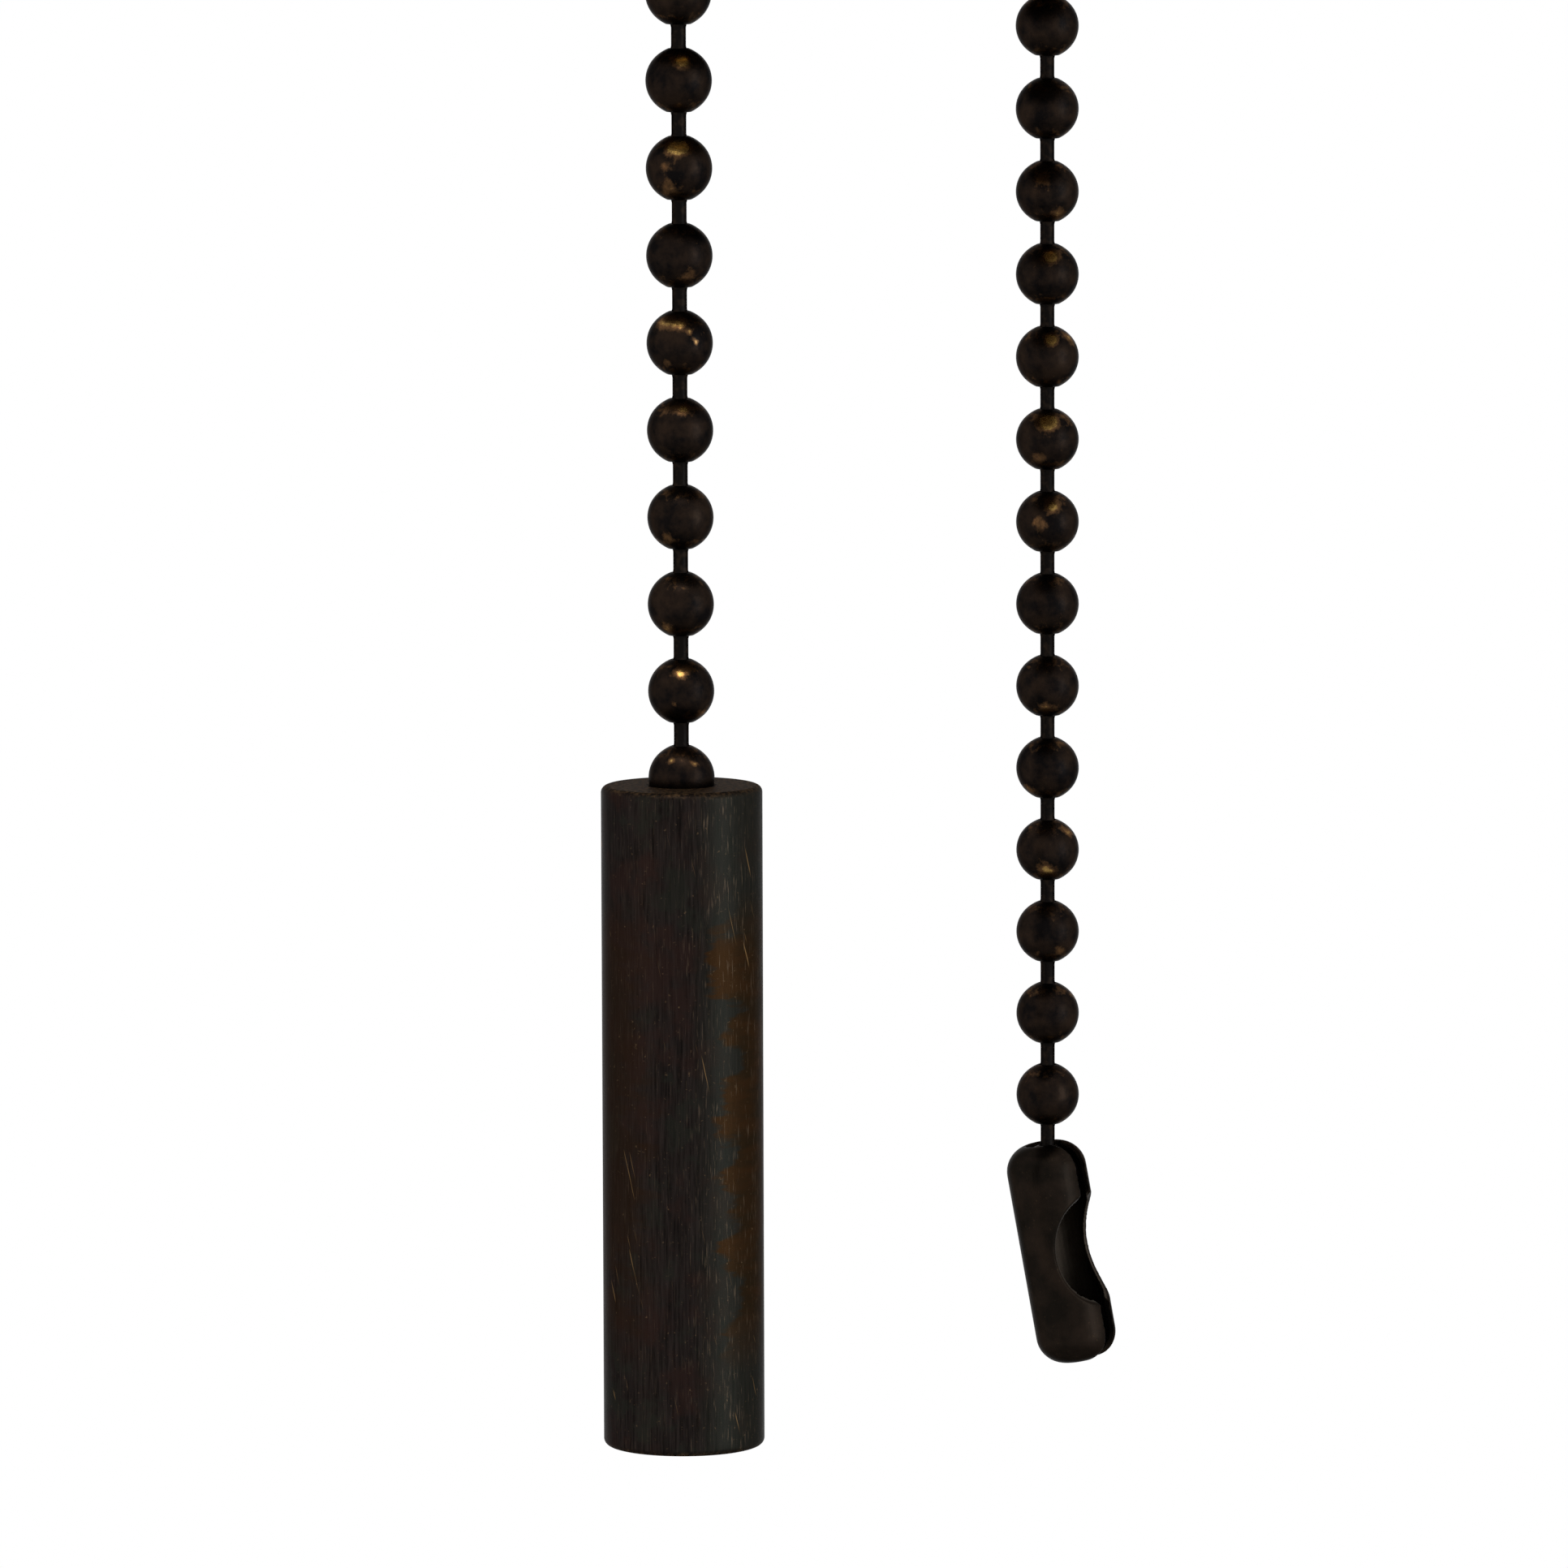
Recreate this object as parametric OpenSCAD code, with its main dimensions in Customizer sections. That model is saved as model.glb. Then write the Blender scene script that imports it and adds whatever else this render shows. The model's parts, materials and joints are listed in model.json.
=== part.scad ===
// Twin pull-cord switch: a ceiling cup that holds two pull-chain switches.
// The left chain ends in a heavy cylindrical pull, the right one in a chain connector.
// Origin: centre of the ceiling face. +Z points into the ceiling, everything hangs below z = 0.
// The chains hang side by side along X, the screw slots lie along Y.

/* [Ceiling cup] */
// Outside diameter of the cup
cup_d = 70; // [69:1:86]
// Height of the cup, from the ceiling to the underside of its floor
cup_h = 34; // [31:1:42]
// Thickness of the cup's sheet
cup_wall = 1; // [0.8:0.1:1.4]
// Outer radius of the cup's lower edge
cup_edge_r = 4; // [2.5:0.5:4.5]
// Radius of the rolled bead round the cup's rim
bead_r = 0.8; // [0.5:0.1:1.2]

/* [Ceiling plate] */
// Thickness of the ceiling plate
plate_t = 1.5; // [1.2:0.1:2]
// Gap between the plate's rim and the cup
plate_gap = 0.5; // [0.3:0.1:1]
// Distance between the two screw slots
slot_spacing = 50.8; // [46:0.2:54]
// Width of a screw slot
slot_w = 4.4; // [3.6:0.2:5]
// Length of a screw slot, end to end
slot_l = 10; // [7:0.5:11]
// Bore of the cable grommet
grommet_bore = 8; // [6:0.5:10]
// Rubber thickness round the cable
grommet_wall = 1.5; // [1.2:0.1:2.5]
// Width of a tab that takes a cup screw
tab_w = 10; // [8:1:12]
// Length of a tab below the ceiling
tab_l = 10; // [9:0.5:11]
// Thread diameter of the cup screws and the earth screw
m4_d = 3.8; // [3:0.2:4]

/* [Chains] */
// Distance between the two chains
chain_spacing = 36; // [35:0.5:38]
// Diameter of a chain ball
ball_d = 3.2; // [2.8:0.1:3.8]
// Distance from one ball to the next
pitch = 4.2; // [4:0.05:5]
// Wall of a hollow ball
ball_wall = 0.25; // [0.2:0.01:0.3]
// Diameter of a link's shank
shank_d = 0.72; // [0.6:0.02:0.8]
// Diameter of a link's end
link_end_d = 1.3; // [1.2:0.02:1.4]
// Radial room of a shank in a ball's hole
hole_room = 0.16; // [0.14:0.01:0.18]
// Number of loose balls on the left chain
left_balls = 11; // [6:1:11]
// Number of loose balls on the right chain
right_balls = 16; // [8:1:16]
// Drop from the bushing's mouth to the left chain's first loose ball
left_drop = 2; // [1.8:0.05:2.6]
// Drop from the bushing's mouth to the right chain's first loose ball
right_drop = 5.12; // [4.5:0.01:5.6]

/* [Pull] */
// Diameter of the pull
pull_d = 7.8; // [6.4:0.1:12]
// Length of the pull
pull_l = 32.2; // [26:0.1:40]
// Radius of the pull's edges
pull_edge_r = 0.3; // [0.1:0.05:0.6]
// Depth of the pull's top face below the centre of the ball that sits in it
pull_sink = 0.36; // [0:0.01:0.7]
// Length of the plug that closes the pull's bore
plug_l = 5; // [3:0.5:8]

/* [Connector] */
// Length of the chain connector
connector_l = 11.4; // [10.5:0.1:13.5]
// Thickness of the connector's rolled sheet
connector_wall = 0.3; // [0.25:0.01:0.36]
// Tilt of the hanging connector
connector_tilt = 10; // [0:1:12]
// Direction that the connector's bottom leans to, measured from +X about +Z
connector_lean = -58.8; // [-180:0.1:180]
// Direction that the connector's window faces, measured from +X about +Z
window_facing = -86.8; // [-180:0.1:180]

/* [Switch] */
// Width of a switch case, cover included
case_w = 14; // [14:0.5:15]
// Height of a switch case
case_h = 20.2; // [20.2:0.2:21]
// Thickness of the case's moulded walls
case_wall = 1.4; // [1.2:0.1:1.6]
// Thickness of the case's floor
case_floor_t = 1.6; // [1.4:0.1:1.8]
// Thickness of the case's two edges that take the cover's rivets
rivet_edge = 2.6; // [2.4:0.1:2.8]
// Diameter of a rivet
rivet_d = 1.6; // [1.2:0.1:1.8]
// Thickness of a lock washer
washer_t = 0.8; // [0.6:0.1:1]
// Thread diameter of a bushing
bushing_d = 8.8; // [8.6:0.1:9.4]
// Length of a bushing below the cup's floor
bushing_below = 7; // [6:0.5:9]
// Radial room of a ball in a bushing
bushing_room = 0.6; // [0.4:0.05:0.7]
// Height of a ring nut
nut_h = 3; // [2.5:0.1:3.5]
// Outside diameter of a ring nut
nut_d = 14; // [12:0.5:16]

/* [Ratchet drive] */
// Tooth module of the rack and the pinion
module_mm = 0.6; // [0.58:0.01:0.62]
// Number of teeth on the pinion
pinion_teeth = 12; // [12:1:12]
// Play between the rack and the pinion, along the pitch line
backlash = 0.12; // [0.08:0.01:0.2]
// Diameter of the pivot pins
pin_d = 2; // [1.8:0.1:2.2]
// Radial room between a pivot pin and what turns on it
pin_room = 0.04; // [0.02:0.01:0.08]
// Diameter of the spring wire
wire_d = 0.5; // [0.4:0.05:0.6]
// Turns of a return spring
spring_turns = 7; // [5:1:9]

/* [Hidden] */
$fn = 64;
eps = 0.05;

ball_r = ball_d / 2;
ball_in_r = ball_r - ball_wall;
shank_r = shank_d / 2;
link_end_r = link_end_d / 2;
hole_r = shank_r + hole_room;
// height of a link's end above the ball's centre, when it hangs in the ball's hole
seat_play = 0.03;
link_seat = sqrt(pow(ball_in_r, 2) - pow(hole_r, 2)) - sqrt(pow(link_end_r, 2) - pow(hole_r, 2)) - seat_play;

cup_r = cup_d / 2;
cup_in_r = cup_r - cup_wall;
cup_floor = -(cup_h - cup_wall);
plate_r = cup_in_r - plate_gap;
m4_r = m4_d / 2;
screw_room = 0.2;
// radial room of a bushing or a terminal screw in its hole
hole_clear = 0.1;
tab_angles = [30, 150, 270];
tab_t = plate_t;
cup_screw_z = -tab_l * 0.6;

// stack of one switch, from the cup's floor up
case_bottom = cup_floor + washer_t;
case_floor = case_bottom + case_floor_t;
flange_t = 1.4;
flange_top = case_floor + flange_t;
case_top = case_bottom + case_h;
case_roof = case_top - case_wall;
plunger_top = case_roof - 0.3;
plunger_head_t = 2.3;
plunger_head_z = plunger_top - plunger_head_t;
plunger_head_r = 4.8;
mouth = -cup_h - bushing_below;

// case around the chain's axis, with the cover towards +X
case_x0 = -case_w / 2;
case_x1 = case_w / 2 - case_wall;
case_in_x = case_x0 + case_wall;

// rack and pinion
pressure_angle = 25;
tooth_pitch = PI * module_mm;
pinion_pitch_r = module_mm * pinion_teeth / 2;
addendum = 0.92 * module_mm;
dedendum = 1.25 * module_mm;
rack_back = 4.7;
rack_root = 5.7;
rack_x0 = case_in_x + 0.6;
rack_w = 3;
pinion_y = rack_root + dedendum + pinion_pitch_r;
pinion_z = flange_top + 7.4;
stroke = pinion_pitch_r * PI / 2;
rack_teeth = round(stroke / tooth_pitch) + 2;

// ratchet parts along the pivot pin
pinion_x0 = rack_x0 + 0.1;
pinion_x1 = rack_x0 + rack_w - 0.1;
dog_h = 0.6;
dog_gap = 0.2;
rotor_x0 = pinion_x1 + 2 * dog_h + dog_gap;
rotor_r = 4.6;
arc_t = 0.4;
arc_x0 = rotor_x0 + 1.2;
web_t = 0.3;
web_x1 = case_x1 - 0.4;
web_x0 = web_x1 - web_t;
pin_r = pin_d / 2;
pivot_r = pin_r + pin_room;
pin_sink = 0.9;

// bushing
bushing_r = bushing_d / 2;
bore_r = ball_r + bushing_room;
flange_r = 6;
bell_r = bushing_r - 0.3;
thread_pitch = 1;

// case along Y: the plunger's head at one end, the risers at the other
side_room = 0.3;
riser_room = 3.45;
case_in_y0 = -max(plunger_head_r, bushing_r) - side_room;
case_in_y1 = pinion_y + rotor_r + riser_room;
case_y0 = case_in_y0 - rivet_edge;
case_y1 = case_in_y1 + rivet_edge;

// sprung leaves and terminals
leaf_t = 0.3;
leaf_w = 1.8;
leaf_gap = 0.4;
wiper_r = 0.35;
wiper_gap = 0.06;
terminal_t = 0.8;
terminal_w = 5.6;
terminal_l = 6.7;
terminal_x = 0.9;

// chains: index 1 is the top loose ball, balls above it sit in the bushing and the plunger
seat_high = plunger_top - ball_r - 0.9;
left_first = mouth - left_drop;
right_first = mouth - right_drop;
left_last = left_first - (left_balls - 1) * pitch;
right_last = right_first - (right_balls - 1) * pitch;
seat_floor_t = pitch - ball_d - 0.2;
ball_play = 0.04;

// pull
pull_r = pull_d / 2;
pull_top = left_last - pull_sink;
pull_bore_r = ball_r + 0.3;
pull_hole_r = shank_r + 0.29;
plug_recess = 0.2;
anchor_z = left_last - pitch;
pull_bore_top = anchor_z + ball_r + ball_play;

// connector, around its upper ball with the tube along Z
socket_room = 0.15;
socket_r = ball_r + socket_room;
connector_r = socket_r + connector_wall;
end_hole_r = shank_r + 0.49;
// the rounded end runs into the hole, so that no flat ring is left round it
connector_corner = connector_r - end_hole_r + 0.2;
slit_w = shank_d + 0.33;
end_in = sqrt(pow(ball_r, 2) - pow(end_hole_r, 2)) + 0.05;
connector_top = end_in + connector_wall;
connector_bottom = connector_top - connector_l;
// the window just lets a ball in from the side
window_half = ball_r + 1.3;
window_depth = connector_r - sqrt(pow(socket_r, 2) - pow(ball_r + 0.05, 2));
window_cut_r = (pow(window_half, 2) + pow(window_depth, 2)) / (2 * window_depth);

bronze = [0.14, 0.11, 0.09];
dark_bronze = [0.10, 0.085, 0.075];
bronze_patina = [0.22, 0.18, 0.16];
brass = [0.76, 0.60, 0.30];
steel = [0.62, 0.62, 0.60];
zinc = [0.70, 0.71, 0.70];
phenolic = [0.20, 0.12, 0.08];
rubber = [0.07, 0.07, 0.07];

function two(i) = i < 10 ? str("0", i) : str(i);
function chain_name(side, i) = str(side, "_chain_", two(i));

SIDES = ["left", "right"];
SWITCH_PARTS = ["case", "case_cover", "bushing", "plunger", "chain_head", "return_spring",
    "pinion", "ratchet_rotor", "rotor_contact", "fixed_contacts"];

// ---------- helpers ----------

// puts a switch's own frame at one chain, the right one turned so that both covers face the middle
module at_switch(side) {
    turn = side == "left" ? 0 : 180;
    rotate([0, 0, turn])
        translate([-chain_spacing / 2, 0, 0])
            children();
}

module at_both() {
    for (side = SIDES)
        at_switch(side)
            children();
}

// a box given by its lowest and highest corners
module block(low, high) {
    translate(low)
        cube(high - low);
}

// a cylinder along X between two places
module rod_x(x0, x1, r) {
    translate([x0, 0, 0])
        rotate([0, 90, 0])
            cylinder(h = x1 - x0, r = r);
}

// a cylinder along Z between two heights
module rod_z(z0, z1, r) {
    translate([0, 0, z0])
        cylinder(h = z1 - z0, r = r);
}

// half outline of a round pot, with a rounded lower edge, for turning
module pot_outline(r, z0, z1, edge) {
    translate([0, z0 + edge])
        square([r, z1 - z0 - edge]);
    translate([0, z0])
        square([r - edge, edge]);
    translate([r - edge, z0 + edge])
        intersection() {
            circle(r = edge);
            translate([0, -edge])
                square(edge);
        }
}

// half outline of a bar with both ends rounded at the edge, for turning
module capsule_outline(r, z0, z1, edge) {
    translate([0, z0 + edge])
        square([r, z1 - z0 - 2 * edge]);
    translate([0, z0])
        square([r - edge, z1 - z0]);
    for (z = [z0 + edge, z1 - edge])
        translate([r - edge, z])
            intersection() {
                circle(r = edge);
                translate([0, -edge])
                    square([edge, 2 * edge]);
            }
}

// ---------- ceiling plate and cup ----------

module slot_cut(y) {
    reach = (slot_l - slot_w) / 2;
    for (end = [-reach, reach])
        translate([0, y + end, 0])
            rod_z(-plate_t - eps, eps, slot_w / 2);
    block([-slot_w / 2, y - reach, -plate_t - eps], [slot_w / 2, y + reach, eps]);
}

module tab() {
    block([plate_r - tab_t, -tab_w / 2, -tab_l], [plate_r - 0.1, tab_w / 2, 0]);
}

module base_plate() {
    color(zinc)
        difference() {
            union() {
                rod_z(-plate_t, 0, plate_r);
                for (a = tab_angles)
                    rotate([0, 0, a])
                        tab();
            }
            for (y = [-slot_spacing / 2, slot_spacing / 2])
                slot_cut(y);
            rod_z(-plate_t - eps, eps, grommet_bore / 2 + grommet_wall);
            for (a = tab_angles)
                rotate([0, 0, a])
                    translate([0, 0, cup_screw_z])
                        rod_x(plate_r - tab_t - 1, plate_r + 1, m4_r);
            translate(earth_at)
                rod_z(-plate_t - eps, eps, m4_r);
        }
}

module cup() {
    color(bronze)
        difference() {
            rotate_extrude() {
                pot_outline(cup_r, -cup_h, 0, cup_edge_r);
                translate([cup_r, -bead_r])
                    circle(r = bead_r);
            }
            rotate_extrude()
                pot_outline(cup_in_r, cup_floor, eps, cup_edge_r - cup_wall);
            for (side = SIDES)
                at_switch(side)
                    rod_z(-cup_h - eps, cup_floor + eps, bushing_r + hole_clear);
            for (a = tab_angles)
                rotate([0, 0, a])
                    translate([0, 0, cup_screw_z])
                        rod_x(cup_in_r - 1, cup_r + 2, m4_r + screw_room);
        }
}

cup_head_r = 3.5;
cup_head_t = 2.2;
cup_screw_l = 8;

// pan-head screw along -Z, with its head's underside at z = 0
module pan_screw(head_r, head_t, shank_r, shank_l) {
    dome = head_t * 0.45;
    crown_r = head_r * 0.72;
    recess_r = head_r * 0.62;
    recess_w = head_r * 0.1;
    difference() {
        union() {
            rod_z(-shank_l, eps, shank_r);
            rod_z(0, head_t - dome, head_r);
            translate([0, 0, head_t - dome])
                cylinder(h = dome, r1 = head_r, r2 = crown_r);
        }
        for (a = [0, 90])
            rotate([0, 0, a])
                block([-recess_r, -recess_w, dome], [recess_r, recess_w, head_t + eps]);
    }
}

module cup_screws() {
    color(dark_bronze)
        for (a = tab_angles)
            rotate([0, 0, a])
                translate([cup_r, 0, cup_screw_z])
                    rotate([0, 90, 0])
                        pan_screw(cup_head_r, cup_head_t, m4_r, cup_screw_l);
}

module cable_grommet() {
    sleeve_r = grommet_bore / 2 + grommet_wall;
    sleeve_l = 3;
    lip_t = 1.5;
    color(rubber)
        difference() {
            union() {
                rod_z(-plate_t - sleeve_l, 0, sleeve_r);
                rod_z(-plate_t - lip_t, -plate_t, sleeve_r + lip_t);
            }
            rod_z(-plate_t - sleeve_l - eps, eps, grommet_bore / 2);
        }
}

earth_at = [17, -17, 0];
earth_head_r = 3.2;
earth_head_t = 2;

module earth_screw() {
    color(brass)
        translate(earth_at + [0, 0, -plate_t])
            rotate([180, 0, 0])
                pan_screw(earth_head_r, earth_head_t, m4_r, plate_t - 0.1);
}

// ---------- one switch ----------

rivet_places = [for (y = [case_y0 + rivet_edge / 2, case_y1 - rivet_edge / 2])
    for (z = [case_bottom + 2, case_top - 2]) [y, z]];
rivet_x0 = -4;

module rivet_shank(x1, r) {
    for (p = rivet_places)
        translate([0, p[0], p[1]])
            rod_x(rivet_x0, x1, r);
}

module case() {
    corner = 1;
    color(phenolic)
        difference() {
            union() {
                block([case_x0 + corner, case_y0, case_bottom], [case_x1, case_y1, case_top]);
                block([case_x0, case_y0 + corner, case_bottom], [case_x1, case_y1 - corner, case_top]);
                for (y = [case_y0 + corner, case_y1 - corner])
                    translate([case_x0 + corner, y, 0])
                        rod_z(case_bottom, case_top, corner);
            }
            block([case_in_x, case_in_y0, case_floor], [case_x1 + eps, case_in_y1, case_roof]);
            rod_z(case_bottom - eps, case_floor + eps, bushing_r + hole_clear);
            translate([0, pinion_y, pinion_z])
                rod_x(case_in_x - pin_sink, case_in_x + eps, pin_r);
            rivet_shank(case_x1 + eps, rivet_d / 2);
            riser_cuts();
            for (s = [-1, 1])
                translate([s * screw_x, terminal_screw_y, 0])
                    rod_z(case_roof - eps, case_top + eps, terminal_shank_r + hole_clear);
        }
}

module case_cover() {
    color(phenolic)
        difference() {
            block([case_x1, case_y0, case_bottom], [case_w / 2, case_y1, case_top]);
            translate([0, pinion_y, pinion_z])
                rod_x(case_x1 - eps, case_x1 + pin_sink, pin_r);
            rivet_shank(case_w / 2 + eps, rivet_d / 2);
        }
}

module cover_rivets() {
    head_h = 0.5;
    color(brass)
        at_both()
            for (p = rivet_places)
                translate([0, p[0], p[1]]) {
                    rod_x(rivet_x0, case_w / 2 + eps, rivet_d / 2);
                    rod_x(case_w / 2, case_w / 2 + head_h, rivet_d);
                }
}

module bushing() {
    flare = 2.4;
    bell_l = 1.5;
    lip = 0.5;
    groove = 0.3;
    key_room = 0.2;
    color(brass)
        difference() {
            union() {
                intersection() {
                    rod_z(case_floor, flange_top, flange_r);
                    block([case_in_x + key_room, -bushing_r, case_floor], [case_x1 - key_room, bushing_r, flange_top]);
                }
                rod_z(mouth + bell_l, case_floor + eps, bushing_r);
                rotate_extrude() {
                    square_to(bell_r, mouth + lip, mouth + bell_l + eps);
                    translate([bell_r - lip, mouth + lip])
                        circle(r = lip);
                    square_to(bell_r - lip, mouth, mouth + 2 * lip);
                }
            }
            rod_z(mouth - eps, flange_top + eps, bore_r);
            // the mouth opens like a bell, so that the chain can be pulled at a slant
            rotate_extrude()
                difference() {
                    square_to(bore_r + flare / 2, mouth - eps, mouth + flare);
                    translate([bore_r + flare, mouth + flare])
                        circle(r = flare);
                }
            // thread grooves
            for (z = [mouth + bell_l + lip : thread_pitch : case_bottom - lip])
                rotate_extrude()
                    polygon([[bushing_r - groove, z], [bushing_r + 0.1, z - groove - 0.1], [bushing_r + 0.1, z + groove + 0.1]]);
        }
}

// half outline of a plain cylinder
module square_to(r, z0, z1) {
    translate([0, z0])
        square([r, z1 - z0]);
}

module ring_nuts() {
    notches = 20;
    notch_r = 0.5;
    notch_out = 0.15;
    nut_edge = 0.4;
    color(dark_bronze)
        at_both()
            difference() {
                rotate_extrude()
                    difference() {
                        capsule_outline(nut_d / 2, -cup_h - nut_h, -cup_h, nut_edge);
                        square_to(bushing_r, -cup_h - nut_h - eps, -cup_h + eps);
                    }
                for (i = [0 : notches - 1])
                    rotate([0, 0, i * 360 / notches])
                        translate([nut_d / 2 + notch_out, 0, 0])
                            rod_z(-cup_h - nut_h - eps, -cup_h + eps, notch_r);
            }
}

module lock_washers() {
    washer_r = flange_r + 0.8;
    split = 0.8;
    color(steel)
        at_both()
            difference() {
                rod_z(cup_floor, case_bottom, washer_r);
                rod_z(cup_floor - eps, case_bottom + eps, bushing_r + hole_clear);
                block([0, -split / 2, cup_floor - eps], [washer_r + 1, split / 2, case_bottom + eps]);
            }
}

// centre of the chain ball that the plunger holds, found from where the chain hangs
function head_balls(first) = floor((seat_high - first) / pitch);
function head_ball_z(first) = first + head_balls(first) * pitch;
function first_z(side) = side == "left" ? left_first : right_first;

module plunger(side) {
    seat = head_ball_z(first_z(side));
    pocket_r = ball_r + ball_play;
    stem_r = wire_mid_r - wire_d / 2 - 0.35;
    slot_r = shank_r + 0.2;
    stem_end = seat - pocket_r - seat_floor_t;
    color(phenolic)
        difference() {
            union() {
                rod_z(plunger_head_z, plunger_top, plunger_head_r);
                rod_z(stem_end, plunger_head_z + eps, stem_r);
                block([rack_x0, 0, plunger_head_z], [rack_x0 + rack_w, rack_root, plunger_top]);
                rack();
            }
            translate([0, 0, seat])
                sphere(r = pocket_r);
            translate([0, 0, seat])
                rotate([90, 0, 0])
                    cylinder(h = plunger_head_r + 1, r = pocket_r);
            rod_z(stem_end - eps, seat, slot_r);
            block([-slot_r, -stem_r - 1, stem_end - eps], [slot_r, 0, seat]);
        }
}

module rack() {
    tip = tooth_pitch / 4 - backlash / 4 - addendum * tan(pressure_angle);
    root = tooth_pitch / 4 - backlash / 4 + dedendum * tan(pressure_angle);
    rack_end = pinion_z - tooth_pitch / 2 - root - 0.1;
    block([rack_x0, rack_back, rack_end], [rack_x0 + rack_w, rack_root, plunger_top]);
    for (i = [0 : rack_teeth - 1])
        translate([rack_x0, 0, pinion_z + (i - 0.5) * tooth_pitch])
            rotate([90, 0, 90])
                linear_extrude(height = rack_w)
                    polygon([[rack_root - eps, -root], [rack_root, -root],
                        [rack_root + addendum + dedendum, -tip], [rack_root + addendum + dedendum, tip],
                        [rack_root, root], [rack_root - eps, root]]);
}

// the part of the chain inside the bushing, from the plunger's ball down to the last fixed link
module chain_head(side) {
    first = first_z(side);
    color(bronze)
        at_switch(side)
            for (i = [1 : head_balls(first)])
                translate([0, 0, first + i * pitch])
                    chain_unit();
}

wire_mid_r = 3.4;
wire_sides = 6;
spring_steps = 16;
spring_room = 0.02;

// a point on the wire's surface: t runs along the coil, s round the wire
function coil_point(t, s, z0, z1) =
    let (turn = t * spring_turns * 360, r = wire_mid_r + wire_d / 2 * cos(s))
    [r * cos(turn), r * sin(turn), z0 + (z1 - z0) * t + wire_d / 2 * sin(s)];

module return_spring() {
    z0 = flange_top + wire_d / 2 + spring_room;
    z1 = plunger_head_z - wire_d / 2 - spring_room;
    rings = spring_turns * spring_steps;
    points = [for (i = [0 : rings]) for (j = [0 : wire_sides - 1])
        coil_point(i / rings, j * 360 / wire_sides, z0, z1)];
    walls = [for (i = [0 : rings - 1]) for (j = [0 : wire_sides - 1])
        let (a = i * wire_sides + j, b = i * wire_sides + (j + 1) % wire_sides)
        each [[a, b, b + wire_sides], [a, b + wire_sides, a + wire_sides]]];
    first_cap = [for (j = [wire_sides - 1 : -1 : 0]) j];
    last_cap = [for (j = [0 : wire_sides - 1]) rings * wire_sides + j];
    color(steel)
        polyhedron(points = points, faces = concat(walls, [first_cap, last_cap]), convexity = 8);
}

// a point of an involute, unrolled by some degrees from its base circle
function involute(base_r, roll) =
    base_r * [cos(roll) + roll * PI / 180 * sin(roll), sin(roll) - roll * PI / 180 * cos(roll)];
function spun(p, a) = [p[0] * cos(a) - p[1] * sin(a), p[0] * sin(a) + p[1] * cos(a)];

module pinion_outline() {
    base_r = pinion_pitch_r * cos(pressure_angle);
    tip_r = pinion_pitch_r + addendum;
    root_r = pinion_pitch_r - dedendum;
    tip_roll = sqrt(pow(tip_r / base_r, 2) - 1) * 180 / PI;
    // half the tooth's angle, measured at the base circle
    half = 90 / pinion_teeth - backlash / 4 / pinion_pitch_r * 180 / PI
        + (tan(pressure_angle) * 180 / PI - pressure_angle);
    steps = 6;
    flank = [for (i = [0 : steps]) spun(involute(base_r, tip_roll * i / steps), -half)];
    foot = spun([root_r - 0.1, 0], -half);
    mirrored = [for (i = [steps : -1 : 0]) [flank[i][0], -flank[i][1]]];
    circle(r = root_r);
    for (i = [0 : pinion_teeth - 1])
        rotate(i * 360 / pinion_teeth)
            polygon(concat([foot], flank, mirrored, [[foot[0], -foot[1]]]));
}

// four one-way dogs that stand on a face at x = 0 and point along +X
module dogs() {
    in_r = 1.7;
    out_r = 2.7;
    run = 1.8;
    for (a = [0 : 90 : 270])
        rotate([a, 0, 0])
            translate([0, 0, in_r])
                linear_extrude(height = out_r - in_r)
                    polygon([[-eps, 0], [dog_h, 0], [0, run], [-eps, run]]);
}

module pinion() {
    color(brass)
        translate([0, pinion_y, pinion_z])
            difference() {
                union() {
                    translate([pinion_x0, 0, 0])
                        rotate([90, 0, 90])
                            linear_extrude(height = pinion_x1 - pinion_x0)
                                pinion_outline();
                    translate([pinion_x1, 0, 0])
                        dogs();
                }
                rod_x(pinion_x0 - eps, rotor_x0, pivot_r);
            }
}

module ratchet_rotor() {
    color(phenolic)
        translate([0, pinion_y, pinion_z])
            difference() {
                union() {
                    rod_x(rotor_x0, arc_x0, rotor_r);
                    rod_x(arc_x0 - eps, web_x0, rotor_r - arc_t);
                    translate([rotor_x0, 0, 0])
                        rotate([0, 0, 180])
                            dogs();
                }
                rod_x(pinion_x1, web_x0 + eps, pivot_r);
            }
}

// brass bridge: two arcs on the rotor's rim, joined by a web over its end
module rotor_contact() {
    spread = 38;
    half_w = 2.2;
    reach = rotor_r + 1;
    color(brass)
        translate([0, pinion_y, pinion_z])
            difference() {
                intersection() {
                    rod_x(arc_x0, web_x1, rotor_r);
                    union() {
                        block([web_x0, -half_w, -rotor_r], [web_x1, half_w, rotor_r]);
                        rotate([90, 0, 90])
                            linear_extrude(height = web_x1)
                                for (s = [-1, 1])
                                    polygon([[0, 0], [reach * tan(spread), reach * s],
                                        [-reach * tan(spread), reach * s]]);
                    }
                }
                rod_x(arc_x0 - eps, web_x0, rotor_r - arc_t);
                rod_x(web_x0 - eps, web_x1 + eps, pin_r + 0.5);
            }
}

screw_x = terminal_x + terminal_w / 2;
terminal_screw_y = case_in_y1 - terminal_l / 2 - 0.3;
terminal_shank_r = 1.25;
terminal_head_r = 2.3;
terminal_head_t = 1.6;
leaf_reach = 3;
riser_y = case_in_y1 - leaf_t;
// where the upper and the lower leaf lie along X, and where their risers leave the case
upper_leaf_x = web_x1 - leaf_w - 0.5;
lower_leaf_x = arc_x0 + 0.1;
lower_riser_x = -4.5;
jog_z = case_roof - 3.6;
jog_h = 1.5;

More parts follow.
